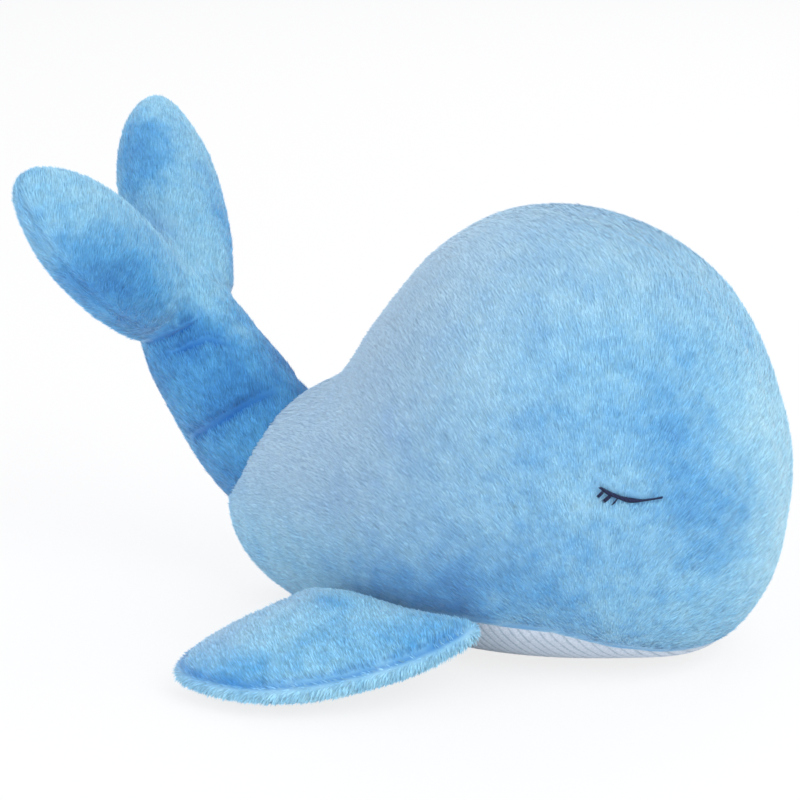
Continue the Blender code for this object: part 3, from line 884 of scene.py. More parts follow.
@dataclass
class Body(Stuffed):
    """The body: two plush sides sewn to a ribbed belly, round one large fill."""

    reach: float = 0.1130
    half_width: float = 0.0930
    centre: Place = (0.06968, 0.0, 0.09378)
    outline_degrees: tuple[float, ...] = (0, 15, 30, 45, 60, 75, 90, 105, 120, 135, 150, 161, 169,
                                          175, 182, 189, 196, 204, 213, 225, 240, 270, 300, 315,
                                          330, 345)
    outline_shares: tuple[float, ...] = (1.0, 0.967, 0.960, 0.963, 0.954, 0.950, 0.952, 0.945,
                                         0.903, 0.860, 0.860, 0.885, 0.947, 1.080, 1.250, 1.415,
                                         1.520, 1.542, 1.474, 1.330, 1.097, 0.938, 0.991, 1.093,
                                         1.076, 1.027)
    calm_shares: tuple[float, float] = (0.30, 0.90)
    calm_degrees: float = 30.0
    width_shares: tuple[float, ...] = (0.55, 0.66, 0.78, 0.90, 0.98, 1.0, 0.94, 0.80)
    width_span: tuple[float, float] = (-1.504, 1.018)
    fullness: float = 2.3
    belly_share: float = -0.876
    belly_round: float = 0.0160
    seam_shares: tuple[tuple[float, float], ...] = (
        (-1.60, -1.000), (-1.30, -0.980), (-1.05, -0.910), (-0.84, -0.790), (-0.62, -0.655),
        (-0.40, -0.588),
        (-0.007, -0.572), (0.147, -0.572), (0.281, -0.575), (0.383, -0.609), (0.490, -0.650),
        (0.552, -0.660), (0.644, -0.690), (0.727, -0.708), (0.814, -0.735), (1.10, -0.770))
    seam_depth: float = 1.3 * MM
    seam_width: float = 2.2 * MM
    rib_pitch: float = 4.3 * MM
    rib_depth: float = 0.55 * MM
    rib_lean_degrees: float = 24.0
    # Where the fins tuck under the sides; painted shade darkens the body along it.
    fin_line: tuple[Place, ...] = (
        (-0.036, -0.060, 0.027), (0.021, -0.074, 0.033), (0.066, -0.080, 0.034))
    tuck_width: float = 4.5 * MM
    tuck_shade: float = 0.36
    seam_shade: float = 0.35
    eye_press: float = 0.7 * MM
    eye_press_width: float = 3.0 * MM
    eye_shade: float = 0.25
    eye_shade_width: float = 1.2 * MM
    parting_overlap: float = 0.6 * MM
    fall_degrees: tuple[float, ...] = (0, 12, 28, 50, 68, 86, 104)
    fall_span: tuple[float, float] = (-1.3, 1.0)
    nose_sweep: float = 1.1
    tint_spots: Spots = (
        ((0.87, -0.38, -0.12), 0.25, -0.38), ((0.78, -0.48, 0.22), 0.18, -0.18),
        ((0.47, -0.66, 0.25), 0.22, -0.14), ((0.59, -0.55, 0.50), 0.22, -0.10),
        ((0.35, -0.74, -0.18), 0.17, -0.18), ((0.23, -0.77, -0.36), 0.22, -0.16),
        # Painted shade above the fin, where it tucks under the side.
        ((-0.08, -0.74, -0.44), 0.15, -0.32), ((-0.42, -0.68, -0.46), 0.16, -0.24),
        ((-0.30, -0.78, 0.02), 0.50, -0.08),
        ((-0.75, -0.45, 0.35), 0.55, 0.10), ((-1.10, -0.35, -0.20), 0.35, 0.05))
    # Painted sheen: the nose is paler towards its front.
    nose_lift: float = 0.34

    def reaches(self, angle: np.ndarray) -> tuple[np.ndarray, np.ndarray]:
        """How far the outline reaches in each direction, and how far a calmer one does.

        Args:
            angle: the directions in side view, in radians.

        Returns:
            The reach at the rim and the reach that the flank follows.
        """
        turn = np.radians(self.outline_degrees)
        reach = np.asarray(self.outline_shares) * self.reach
        outline = np.stack([reach * np.cos(turn), reach * np.sin(turn)], -1)
        spread = np.array((-1.0, -0.5, 0.0, 0.5, 1.0)) * math.radians(self.calm_degrees)
        near = ring_reach(outline, angle[None, :] + spread[:, None])
        return near[2], near.mean(axis=0)

    def far(self, reaches: tuple[np.ndarray, np.ndarray], share: np.ndarray) -> np.ndarray:
        """How far a place lies from the centre in side view.

        Args:
            reaches: the reach at the rim and the calm one, in the place's direction.
            share: how near to the rim, from 0 on the flank to 1 at the outline.

        Returns:
            The distance from the body's centre.
        """
        rim = smooth_step(share, *self.calm_shares)
        return (reaches[0] * rim + reaches[1] * (1 - rim)) * share

    def form(self, n: np.ndarray) -> np.ndarray:
        """Shape the egg with a high crown that tapers to the tail and lies flat on its belly.

        Args:
            n: the ball's directions.

        Returns:
            Where each direction goes.
        """
        belly = self.belly_share * self.reach
        angle = np.arctan2(n[:, 2], n[:, 0])
        far = self.far(self.reaches(angle), np.hypot(n[:, 0], n[:, 2]) ** (2 / self.fullness))
        x = far * np.cos(angle)
        z = belly + soft_floor(far * np.sin(angle) - belly, self.belly_round)
        rear, front = (share * self.reach for share in self.width_span)
        width = self.half_width * line_values(self.width_shares, (x - rear) / (front - rear))
        y = width * np.sign(n[:, 1]) * np.abs(n[:, 1]) ** (2 / self.fullness)
        return np.stack([x, y, z], -1) + np.array(self.centre)

    def flank_y(self, x: float, z: float) -> float:
        """Find half the body's width at a place on its side.

        Args:
            x: how far ahead of the body's centre the place is.
            z: how far above it.

        Returns:
            How far the side stands out from the middle.
        """
        belly = self.belly_share * self.reach
        above = z - belly
        height = belly + above - self.belly_round ** 2 / (4 * above)
        reaches = self.reaches(np.array([math.atan2(height, x)]))
        low, high = 0.0, 1.0
        for _ in range(24):
            share = (low + high) / 2
            inside = self.far(reaches, np.array([share]))[0] < math.hypot(x, height)
            low, high = (share, high) if inside else (low, share)
        rear, front = (share_x * self.reach for share_x in self.width_span)
        width = line_values(self.width_shares, np.array([(x - rear) / (front - rear)]))[0]
        depth = max(0.0, 1 - share ** self.fullness) ** 0.5
        return float(self.half_width * width * depth ** (2 / self.fullness))

    def flank_point(self, along: float, up: float, lift: float, side: float) -> np.ndarray:
        """A place on the body's side, raised off its solid.

        Args:
            along: how far forward, as a share of the body's reach.
            up: how far up, as a share of the body's reach.
            lift: how far it stands off the side.
            side: -1 for the whale's right, 1 for its left.

        Returns:
            The place.
        """
        x, z, step = along * self.reach, up * self.reach, self.reach / 1000
        y = self.flank_y(x, z)
        slope_x = (self.flank_y(x + step, z) - self.flank_y(x - step, z)) / (2 * step)
        slope_z = (self.flank_y(x, z + step) - self.flank_y(x, z - step)) / (2 * step)
        place = np.array([x, y, z]) + unit(np.array([-slope_x, 1.0, -slope_z])) * lift
        return place * np.array([1.0, side, 1.0]) + np.array(self.centre)

    def seam_line(self) -> np.ndarray:
        """The belly seam in side view, as places along and up."""
        return np.array(self.seam_shares) * self.reach + np.array([self.centre[0], self.centre[2]])

    def above_seam(self, points: np.ndarray) -> np.ndarray:
        """Measure how far points stand above the belly seam in side view.

        Args:
            points: the points.

        Returns:
            Their distance from the seam, negative below it.
        """
        line = self.seam_line()
        height = points[:, 2] - np.interp(points[:, 0], line[:, 0], line[:, 1])
        return np.sign(height) * np.minimum(np.abs(height), path_distance(points[:, [0, 2]], line))

    def beside_fin(self, points: np.ndarray) -> np.ndarray:
        """Measure how far points lie from the lines where the fins tuck under the sides.

        Args:
            points: the points.

        Returns:
            Their distance from the nearer line.
        """
        mirrored = points * np.array([1.0, -1.0, 1.0])
        right = np.where(points[:, 1:2] < 0, points, mirrored)
        return path_distance(right, open_curve(np.array(self.fin_line), 6))

    def lay(self, skin: bpy.types.Object) -> np.ndarray:
        """Find how the pile lies: up off the face, over the head and level to the tail.

        Args:
            skin: the body's skin.

        Returns:
            A direction along the skin at each of its points.
        """
        points = (places(skin) - np.array(self.centre)) / self.reach
        rear, front = self.fall_span
        share = (points[:, 0] - rear) / (front - rear)
        fall = np.radians(line_values(self.fall_degrees, share))
        swept = self.nose_sweep * smooth_step(points[:, 0], 0.3, 0.95)
        way = np.stack([-np.cos(fall), swept, np.sin(fall)], -1)
        return along_skin(way, normals(skin))

    def tint(self, points: np.ndarray) -> np.ndarray:
        """Find where the plush is painted deeper or paler: patches where its pile stands or lies,
        painted shade above the fins and a painted sheen on the nose.

        Args:
            points: the skin's points.

        Returns:
            How much paler each is, negative where it is deeper.
        """
        local = (points - np.array(self.centre)) / self.reach
        local[:, 1] = -np.abs(local[:, 1])
        lifted = self.nose_lift * smooth_step(local[:, 0], 0.80, 1.0)
        return spot_tone(local, self.tint_spots) + lifted

    def bloom(self, points: np.ndarray) -> np.ndarray:
        """Find where the rear and the back are painted greyer: painted sheen and light on the top
        and rear, partly the pile's nap, less of it low down.

        Args:
            points: the skin's points.

        Returns:
            How grey each is, from 0 to 1.
        """
        local = (points - np.array(self.centre)) / self.reach
        rear = smooth_step(-local[:, 0], -0.55, 0.72)
        high = smooth_step(local[:, 2] - 0.5 * local[:, 0], -0.9, 1.0)
        crown = smooth_step(local[:, 2], 0.45, 0.95)
        low = smooth_step(-local[:, 2], 0.15, 0.6)
        grey = 0.10 + 0.68 * rear * (0.25 + 0.75 * high) + 0.20 * crown * (1 - rear)
        return grey * (1 - 0.7 * low)

    def split(self, whole: bpy.types.Object, name: str, side: float,
              above: bool) -> bpy.types.Object:
        """Cut one panel's share out of the whole body.

        Args:
            whole: the closed body.
            name: the panel's name.
            side: -1 for the whale's right, 1 for its left, 0 for both.
            above: whether the panel lies above the belly seam.

        Returns:
            The panel as a closed form.
        """
        line = self.seam_line()
        far = 0.4
        edge = far if above else -far
        ends = np.array([(line[-1, 0], edge), (line[0, 0], edge)])
        corners = np.concatenate([line, ends])
        deselect()
        bpy.ops.mesh.primitive_circle_add(vertices=len(corners), fill_type="NGON")
        cutter = bpy.context.object
        low = 0.0 if side > 0 else -far
        high = 0.0 if side < 0 else far
        move(cutter, np.stack([corners[:, 0], np.full(len(corners), low), corners[:, 1]], -1))
        bpy.ops.object.mode_set(mode="EDIT")
        bpy.ops.mesh.select_all(action="SELECT")
        bpy.ops.mesh.extrude_region_move(TRANSFORM_OT_translate={"value": (0.0, high - low, 0.0)})
        bpy.ops.mesh.select_all(action="SELECT")
        bpy.ops.mesh.normals_make_consistent(inside=False)
        bpy.ops.object.mode_set(mode="OBJECT")
        panel = copied(whole, name)
        cut = panel.modifiers.new("cut", "BOOLEAN")
        cut.operation = "INTERSECT"
        cut.solver = "EXACT"
        cut.object = cutter
        apply_modifiers(panel)
        bpy.data.objects.remove(cutter, do_unlink=True)
        return panel

    def build(self, pile: Pile, eye_paths: Sequence[np.ndarray]) -> None:
        """Make the sides, the belly and their pile.

        Args:
            pile: the layer of tufts.
            eye_paths: the embroidered lines, which press the pile flat.
        """
        whole, _ = self.skin(self.form)
        points = places(whole)
        height = self.above_seam(points)
        self.draw_in(whole, self.pile_depth * smooth_step(height, -1 * MM, 5 * MM))
        groove = np.exp(-(height / self.seam_width) ** 2)
        self.draw_in(whole, self.seam_depth * groove)
        beside = np.full(len(points), 1.0)
        for path in eye_paths:
            beside = np.minimum(beside, path_distance(points, path))
        self.draw_in(whole, self.eye_press * np.exp(-(beside / self.eye_press_width) ** 2))
        points = places(whole)
        points[:, 2] = np.maximum(points[:, 2], FLOOR_GAP)
        move(whole, points)
        store(whole, "tint", self.tint(points))
        # Painted sheen and light grey the rear and the top, partly the pile's nap.
        store(whole, "bloom", self.bloom(points))
        # Painted shade: darker along the belly seam, round the pressed eye and where the fins tuck
        # under.
        pressed = np.exp(-(beside / self.eye_shade_width) ** 2)
        tucked = np.exp(-(self.beside_fin(points) / self.tuck_width) ** 2)
        shade = self.seam_shade * groove + self.eye_shade * pressed
        store(whole, "fold", np.maximum(shade, self.tuck_shade * tucked))
        store(whole, "lay", self.lay(whole))
        height = self.above_seam(points)
        for side, sign in (("right", -1.0), ("left", 1.0)):
            panel = self.split(whole, "body_" + side + "_side_panel", sign, True)
            self.nodes = ("body_side_" + side,) + (("body_fill",) if sign < 0 else ())
            self.dress(panel)
            cover = np.minimum(height, points[:, 1] * sign + self.parting_overlap)
            cover = np.minimum(cover, beside - self.eye_press)
            store(whole, "cover", cover)
            fur = pile.grow(whole, "body_" + side + "_side_pile", 10 if sign < 0 else 20)
            self.hand_over(panel, 0.95)
            self.hand_over(fur, None)
            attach(panel, "body")
            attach(fur, "body")
        self.belly(whole)
        bpy.data.objects.remove(whole, do_unlink=True)

    def belly(self, whole: bpy.types.Object) -> None:
        """Make the ribbed belly cloth from the part below the seam.

        Args:
            whole: the closed body.
        """
        panel = self.split(whole, "belly_ribbed_cloth", 0.0, False)
        detail = panel.modifiers.new("detail", "SUBSURF")
        detail.levels = detail.render_levels = 2
        detail.subdivision_type = "SIMPLE"
        apply_modifiers(panel)
        points, out = places(panel), normals(panel)
        lean = math.radians(self.rib_lean_degrees)
        phase = (points[:, 0] * math.cos(lean) + points[:, 2] * math.sin(lean)) / self.rib_pitch
        valley = (0.5 + 0.5 * np.cos(2 * math.pi * phase)) ** 8
        below = smooth_step(-self.above_seam(points), 0.0, 2 * MM)
        outer = below * smooth_step(-out[:, 2], -0.6, 0.0)
        off_floor = smooth_step(points[:, 2], 0.5 * MM, 3 * MM)
        move(panel, points - out * (self.rib_depth * valley * outer * off_floor)[:, None])
        ribs = RibbedClothFinish(pitch=self.rib_pitch, lean_degrees=self.rib_lean_degrees)
        clothe(panel, ribs.make())
        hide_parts("belly_panel")
        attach(panel, "body")


@dataclass
class Limb(Stuffed):
    """A stuffed limb with round ends and an oval section along its spine."""

    centre: Place = (0.06968, 0.0, 0.09378)
    reach: float = 0.1130

    def limb(self, n: np.ndarray, spine: np.ndarray, side: np.ndarray, widths: Sequence[float],
             depths: Sequence[float], roundness: float, crowding: float) -> np.ndarray:
        """Wrap a ball's directions round a spine.

        Args:
            n: the ball's directions; +Y is the limb's start.
            spine: places along the limb's middle.
            side: the direction of its width.
            widths: half widths along the spine.
            depths: half depths along the spine.
            roundness: how blunt the ends are, from 0.
            crowding: how far the sections crowd to the tip, from 0 to 1.

        Returns:
            Where each direction goes.
        """
        t = np.arccos(np.clip(n[:, 1], -1, 1)) / math.pi
        t = t + crowding * np.sin(math.pi * t) / math.pi
        step = 1 / 512
        centre = np.stack([line_values(spine[:, k], t) for k in range(3)], -1)
        ahead = np.stack([line_values(spine[:, k], np.clip(t + step, 0, 1)) for k in range(3)], -1)
        behind = np.stack([line_values(spine[:, k], np.clip(t - step, 0, 1)) for k in range(3)], -1)
        along = unit(ahead - behind)
        across = unit(side - along * (along @ side)[:, None])
        up = np.cross(along, across)
        turn = np.arctan2(n[:, 2], n[:, 0])
        end = np.clip(np.sin(math.pi * t), 0, 1) ** roundness
        wide = line_values(widths, t) * end * np.cos(turn)
        deep = line_values(depths, t) * end * np.sin(turn)
        return centre + across * wide[:, None] + up * deep[:, None]

    def cover_all(self, skin: bpy.types.Object, way: np.ndarray, fold: np.ndarray,
                  tint: np.ndarray) -> None:
        """Store a skin's lay, painted crease shade and tint, and let the pile cover all of it.

        Args:
            skin: the skin.
            way: the direction that the pile is brushed in, at each point.
            fold: how much of a crease each point is in, from 0 to 1.
            tint: how much paler each point is, negative where it is deeper.
        """
        store(skin, "lay", along_skin(way, normals(skin)))
        store(skin, "cover", np.full(len(fold), 1.0))
        store(skin, "fold", fold)
        store(skin, "tint", tint)


@dataclass(frozen=True)
class Wrinkle:
    """A crease that the filling's weight or a gathered seam leaves in the skin.

    Its path is in millimetres from the flukes' root: along them, outward, and up from them.
    """

    path_mm: tuple[Place, ...]
    depth: float
    width: float
    shade: float = 0.8


@dataclass
class Tail(Limb):
    """The stock and the two fluke lobes: one skin, gathered and creased where they are sewn."""

    spine_shares: tuple[tuple[float, float], ...] = (
        (-1.085, -0.410), (-1.325, -0.150), (-1.505, 0.075), (-1.630, 0.255), (-1.740, 0.500))
    stock_width: float = 0.0335
    stock_width_shares: tuple[float, ...] = (1.0, 1.0, 0.97, 0.98, 1.0)
    stock_depth: float = 0.0315
    stock_depth_shares: tuple[float, ...] = (1.45, 1.15, 0.94, 0.92, 0.95)
    stock_roundness: float = 0.25
    lobe_lengths: tuple[float, float] = (0.0955, 0.1120)
    root_shares: tuple[float, float] = (-1.675, 0.321)
    pitch_degrees: float = 57.7
    spread_share: float = 0.744
    lobe_spine_shares: tuple[tuple[float, float], ...] = (
        (-0.32, 0.155), (0.08, 0.24), (0.36, 0.395), (0.69, 0.675), (0.97, 0.955))
    lobe_width: float = 0.0325
    lobe_width_shares: tuple[float, ...] = (0.66, 0.80, 0.99, 1.03, 0.90)
    lobe_depth: float = 0.0222
    lobe_depth_shares: tuple[float, ...] = (1.05, 1.04, 1.01, 1.05, 0.93)
    lobe_roundness: float = 0.45
    crowding: float = 0.56
    base_round: float = 0.0050
    web_half_sizes: tuple[float, float, float] = (0.034, 0.030, 0.0185)
    web_along: float = 0.020
    voxel: float = 1.2 * MM
    calm_steps: int = 90
    seam_depth: float = 0.6 * MM
    seam_width: float = 2.0 * MM
    parting: float = -0.004
    wrinkles: tuple[Wrinkle, ...] = (
        Wrinkle(((0, 21, -15), (-2, 25, -9), (-4, 27, 2), (-5, 25, 11), (-4, 18, 20)),
                2.6 * MM, 1.5 * MM, 0.95),
        Wrinkle(((-11, 29, 0), (-13, 29, 5), (-14, 26, 14), (-15, 22, 20), (-20, 18, 24),
                 (-26, 15, 28)), 2.3 * MM, 1.9 * MM, 1.0),
        Wrinkle(((-52, 25, -16), (-52, 29, -10), (-52, 32, 0), (-52, 31, 9), (-51, 24, 25),
                 (-52, 14, 32)), 3.0 * MM, 2.2 * MM, 1.0),
        Wrinkle(((38, 4, 15), (50, 2, 10), (60, 1, 5)), 1.4 * MM, 3.5 * MM, 0.45))
    hollow_width: float = 3.0
    edge_shade: float = 0.12
    stock_way: Place = (-0.45, 0.3, 0.9)
    lobe_way: tuple[float, float] = (0.8, 0.6)
    stock_tint: float = 0.42
    parting_overlap: float = 0.6 * MM
    bend_start: Place = (-0.066, 0.0, 0.066)
    bend_end: Place = (-0.094, 0.0, 0.092)
    fullness: float = 0.85
    # Painted shade on the lobes' low sides and painted highlights on the stock's and lobes' upper
    # places.
    tint_spots: Spots = (
        ((38.0, -62.0, 8.0), 26.0, -0.34), ((14.0, -44.0, 6.0), 22.0, -0.34),
        ((38.0, 62.0, 8.0), 26.0, -0.25), ((14.0, 44.0, 6.0), 22.0, -0.25),
        ((74.0, 21.0, 6.0), 16.0, -0.36), ((90.0, 32.0, 6.0), 15.0, -0.30),
        ((-45.0, -24.0, 22.0), 14.0, -0.22), ((-45.0, 24.0, 22.0), 14.0, -0.22),
        ((-8.0, -10.0, 26.0), 16.0, 0.16), ((-24.0, -4.0, 30.0), 14.0, 0.18),
        ((-60.0, -28.0, 4.0), 12.0, 0.16), ((-62.0, 28.0, 4.0), 12.0, 0.16),
        ((-46.0, -22.0, -22.0), 18.0, 0.16), ((60.0, -30.0, 12.0), 18.0, 0.14),
        ((40.0, 12.0, 16.0), 20.0, 0.14))

    def along(self) -> np.ndarray:
        """The flukes' own direction, up and back."""
        pitch = math.radians(self.pitch_degrees)
        return np.array([-math.cos(pitch), 0.0, math.sin(pitch)])

    def up(self) -> np.ndarray:
        """The direction that the flukes' upper face looks."""
        pitch = math.radians(self.pitch_degrees)
        return np.array([math.sin(pitch), 0.0, math.cos(pitch)])

    def root(self) -> np.ndarray:
        """The middle of the flukes' root."""
        share_x, share_z = self.root_shares
        return np.array([share_x * self.reach, 0.0, share_z * self.reach]) + np.array(self.centre)

    def stock_form(self, n: np.ndarray) -> np.ndarray:
        """Shape the stock, from inside the body to inside the flukes.

        Args:
            n: the ball's directions.

        Returns:
            Where each direction goes.
        """
        spine = np.array([(a * self.reach, 0.0, b * self.reach) for a, b in self.spine_shares])
        points = self.limb(n, spine, LEVEL,
                           np.array(self.stock_width_shares) * self.stock_width,
                           np.array(self.stock_depth_shares) * self.stock_depth,
                           self.stock_roundness, 0.0)
        return points + np.array(self.centre)

    def lobe_form(self, side: float) -> Form:
        """Prepare the form of one lobe, leaning outward from the root.

        Args:
            side: -1 for the whale's right, 1 for its left.

        Returns:
            The form.
        """
        length = self.lobe_lengths[0 if side < 0 else 1]
        spread = self.spread_share * length * side
        spine = np.array([self.root() + self.along() * (a * length)
                          + LEVEL * (b * spread) for a, b in self.lobe_spine_shares])
        across = np.cross(spine[-1] - spine[0], self.up())

        def form(n: np.ndarray) -> np.ndarray:
            """Wrap the ball round the lobe's spine and keep it clear of the stock.

            Args:
                n: the ball's directions.

            Returns:
                Where each direction goes.
            """
            points = self.limb(n, spine, across, np.array(self.lobe_width_shares) * self.lobe_width,
                               np.array(self.lobe_depth_shares) * self.lobe_depth,
                               self.lobe_roundness, self.crowding)
            return keep_ahead(points, self.root(), self.along(), self.base_round)

        return form

    def web_form(self, n: np.ndarray) -> np.ndarray:
        """Shape the fullness between the lobes where the stock runs into them.

        Args:
            n: the ball's directions.

        Returns:
            Where each direction goes.
        """
        long, wide, deep = self.web_half_sizes
        middle = self.root() + self.along() * self.web_along
        return (middle + np.outer(n[:, 0] * long, self.along())
                + np.outer(n[:, 1] * wide, LEVEL)
                + np.outer(n[:, 2] * deep, self.up()))

    def whole_skin(self) -> bpy.types.Object:
        """Melt the stock, the lobes and the web into one smooth closed skin.

        Returns:
            The skin.
        """
        parts = [self.skin(form)[0] for form in
                 (self.stock_form, self.lobe_form(-1.0), self.lobe_form(1.0), self.web_form)]
        skin = joined(parts)
        skin.data.remesh_voxel_size = self.voxel
        bpy.ops.object.voxel_remesh()
        calm = skin.modifiers.new("calm", "SMOOTH")
        calm.factor = 0.5
        calm.iterations = self.calm_steps
        apply_modifiers(skin)
        return skin

    def pressed(self, skin: bpy.types.Object) -> np.ndarray:
        """Press the edge seam and the wrinkles into the skin.

        Args:
            skin: the whole tail's skin.

        Returns:
            How much painted crease shade each point takes, from 0 to 1.
        """
        points, out = places(skin), normals(skin)
        height = (points - self.root()) @ self.up()
        ahead = (points - self.root()) @ self.along()
        edge = np.exp(-(height / self.seam_width) ** 2)
        edge = edge * smooth_step(1 - np.abs(out @ self.up()), 0.35, 0.8)
        edge = edge * smooth_step(ahead, 4 * MM, 14 * MM)
        move(skin, points - out * (self.seam_depth * edge)[:, None])
        # Painted shade along the edge seam and in each wrinkle.
        fold = self.edge_shade * edge
        for wrinkle in self.wrinkles:
            points, out = places(skin), normals(skin)
            away = points - self.root()
            local = np.stack([away @ self.along(), np.abs(away[:, 1]), away @ self.up()], -1)
            path = open_curve(np.array(wrinkle.path_mm) * MM, 6)
            beside = path_distance(local, path) / wrinkle.width
            ends = np.minimum(np.linalg.norm(local - path[0], axis=1),
                              np.linalg.norm(local - path[-1], axis=1))
            beside = beside + 0.9 * (1 - smooth_step(ends, 0.0, 9 * MM))
            hollow = np.exp(-(beside / self.hollow_width) ** 2)
            dip = 0.65 * np.exp(-beside ** 2) + 0.35 * hollow
            move(skin, points - out * (wrinkle.depth * dip)[:, None])
            shade = 0.75 * np.exp(-(beside / 1.3) ** 2) + 0.25 * hollow
            fold = np.maximum(fold, wrinkle.shade * shade)
        return fold

    def tint(self, points: np.ndarray) -> np.ndarray:
        """Find where the pile is coloured deeper or paler: the stock's deeper blue, painted shade
        on the lobes' low sides and painted highlights on some upper places.

        Args:
            points: the skin's points.

        Returns:
            How much paler each is, negative where it is deeper.
        """
        away = points - self.root()
        local = np.stack([away @ self.along(), away[:, 1], away @ self.up()], -1) / MM
        stock = 1 - smooth_step(local[:, 0], -16.0, 8.0)
        return spot_tone(local, self.tint_spots) - self.stock_tint * stock

    def cut(self, whole: bpy.types.Object, name: str,
            planes: Sequence[tuple[np.ndarray, np.ndarray]]) -> bpy.types.Object:
        """Copy the whole tail and keep what lies ahead of some planes, closed again.

        Args:
            whole: the whole tail's skin.
            name: the new piece's name.
            planes: a place and a direction each.

        Returns:
            The piece.
        """
        piece = copied(whole, name)
        pick(piece)
        bpy.ops.object.mode_set(mode="EDIT")
        for place, direction in planes:
            bpy.ops.mesh.select_all(action="SELECT")
            bpy.ops.mesh.bisect(plane_co=tuple(place), plane_no=tuple(direction), use_fill=True,
                                clear_inner=True)
        bpy.ops.object.mode_set(mode="OBJECT")
        return piece

    def build(self, deep: Pile, blue: Pile) -> None:
        """Make the stock and both lobes with their pile, cut apart where they meet.

        Args:
            deep: the stock's layer of tufts.
            blue: the lobes' layer of tufts.
        """
        whole = self.whole_skin()
        self.draw_in(whole, np.full(len(whole.data.vertices), self.pile_depth))
        fold = self.pressed(whole)
        points = places(whole)
        ahead = (points - self.root()) @ self.along()
        upper = smooth_step(ahead, -8 * MM, 25 * MM)[:, None]
        onward, aside = self.lobe_way
        across = onward * self.along() + aside * LEVEL
        way = np.array(self.stock_way) * (1 - upper) + across * upper
        self.cover_all(whole, way, fold, self.tint(points))
        # A little painted sheen towards the lobes' tips.
        store(whole, "bloom", 0.05 * smooth_step(ahead, 10 * MM, 60 * MM))
        base = self.root() + self.along() * self.parting
        seam = (points - base) @ self.along()
        slack = self.parting_overlap
        jobs = (("tail_stock", DEEP_PLUSH, deep, 30, [(base, -self.along())], slack - seam),
                ("fluke_right", BLUE_PLUSH, blue, 40, [(base, self.along()), (base, -LEVEL)],
                 np.minimum(seam, -points[:, 1]) + slack),
                ("fluke_left", BLUE_PLUSH, blue, 50, [(base, self.along()), (base, LEVEL)],
                 np.minimum(seam, points[:, 1]) + slack))
        for name, finish, pile, seed, planes, cover in jobs:
            self.finish = finish
            skin = self.cut(whole, name + "_skin", planes)
            store(whole, "cover", cover)
            fur = pile.grow(whole, name + "_pile", seed)
            self.dress(skin)
            stock = name == "tail_stock"
            kinds = ("right", "left", "fill") if stock else ("top", "under", "fill")
            prefix = "tail_" if stock else name + "_"
            self.nodes = tuple(prefix + kind for kind in kinds)
            self.slot = Slot.DEEP_PLUSH if stock else Slot.BLUE_PLUSH
            self.hand_over(skin, self.fullness)
            self.hand_over(fur, None)
            for piece in (skin, fur):
                if stock:
                    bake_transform(piece)
                else:
                    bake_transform(piece)
        bpy.data.objects.remove(whole, do_unlink=True)


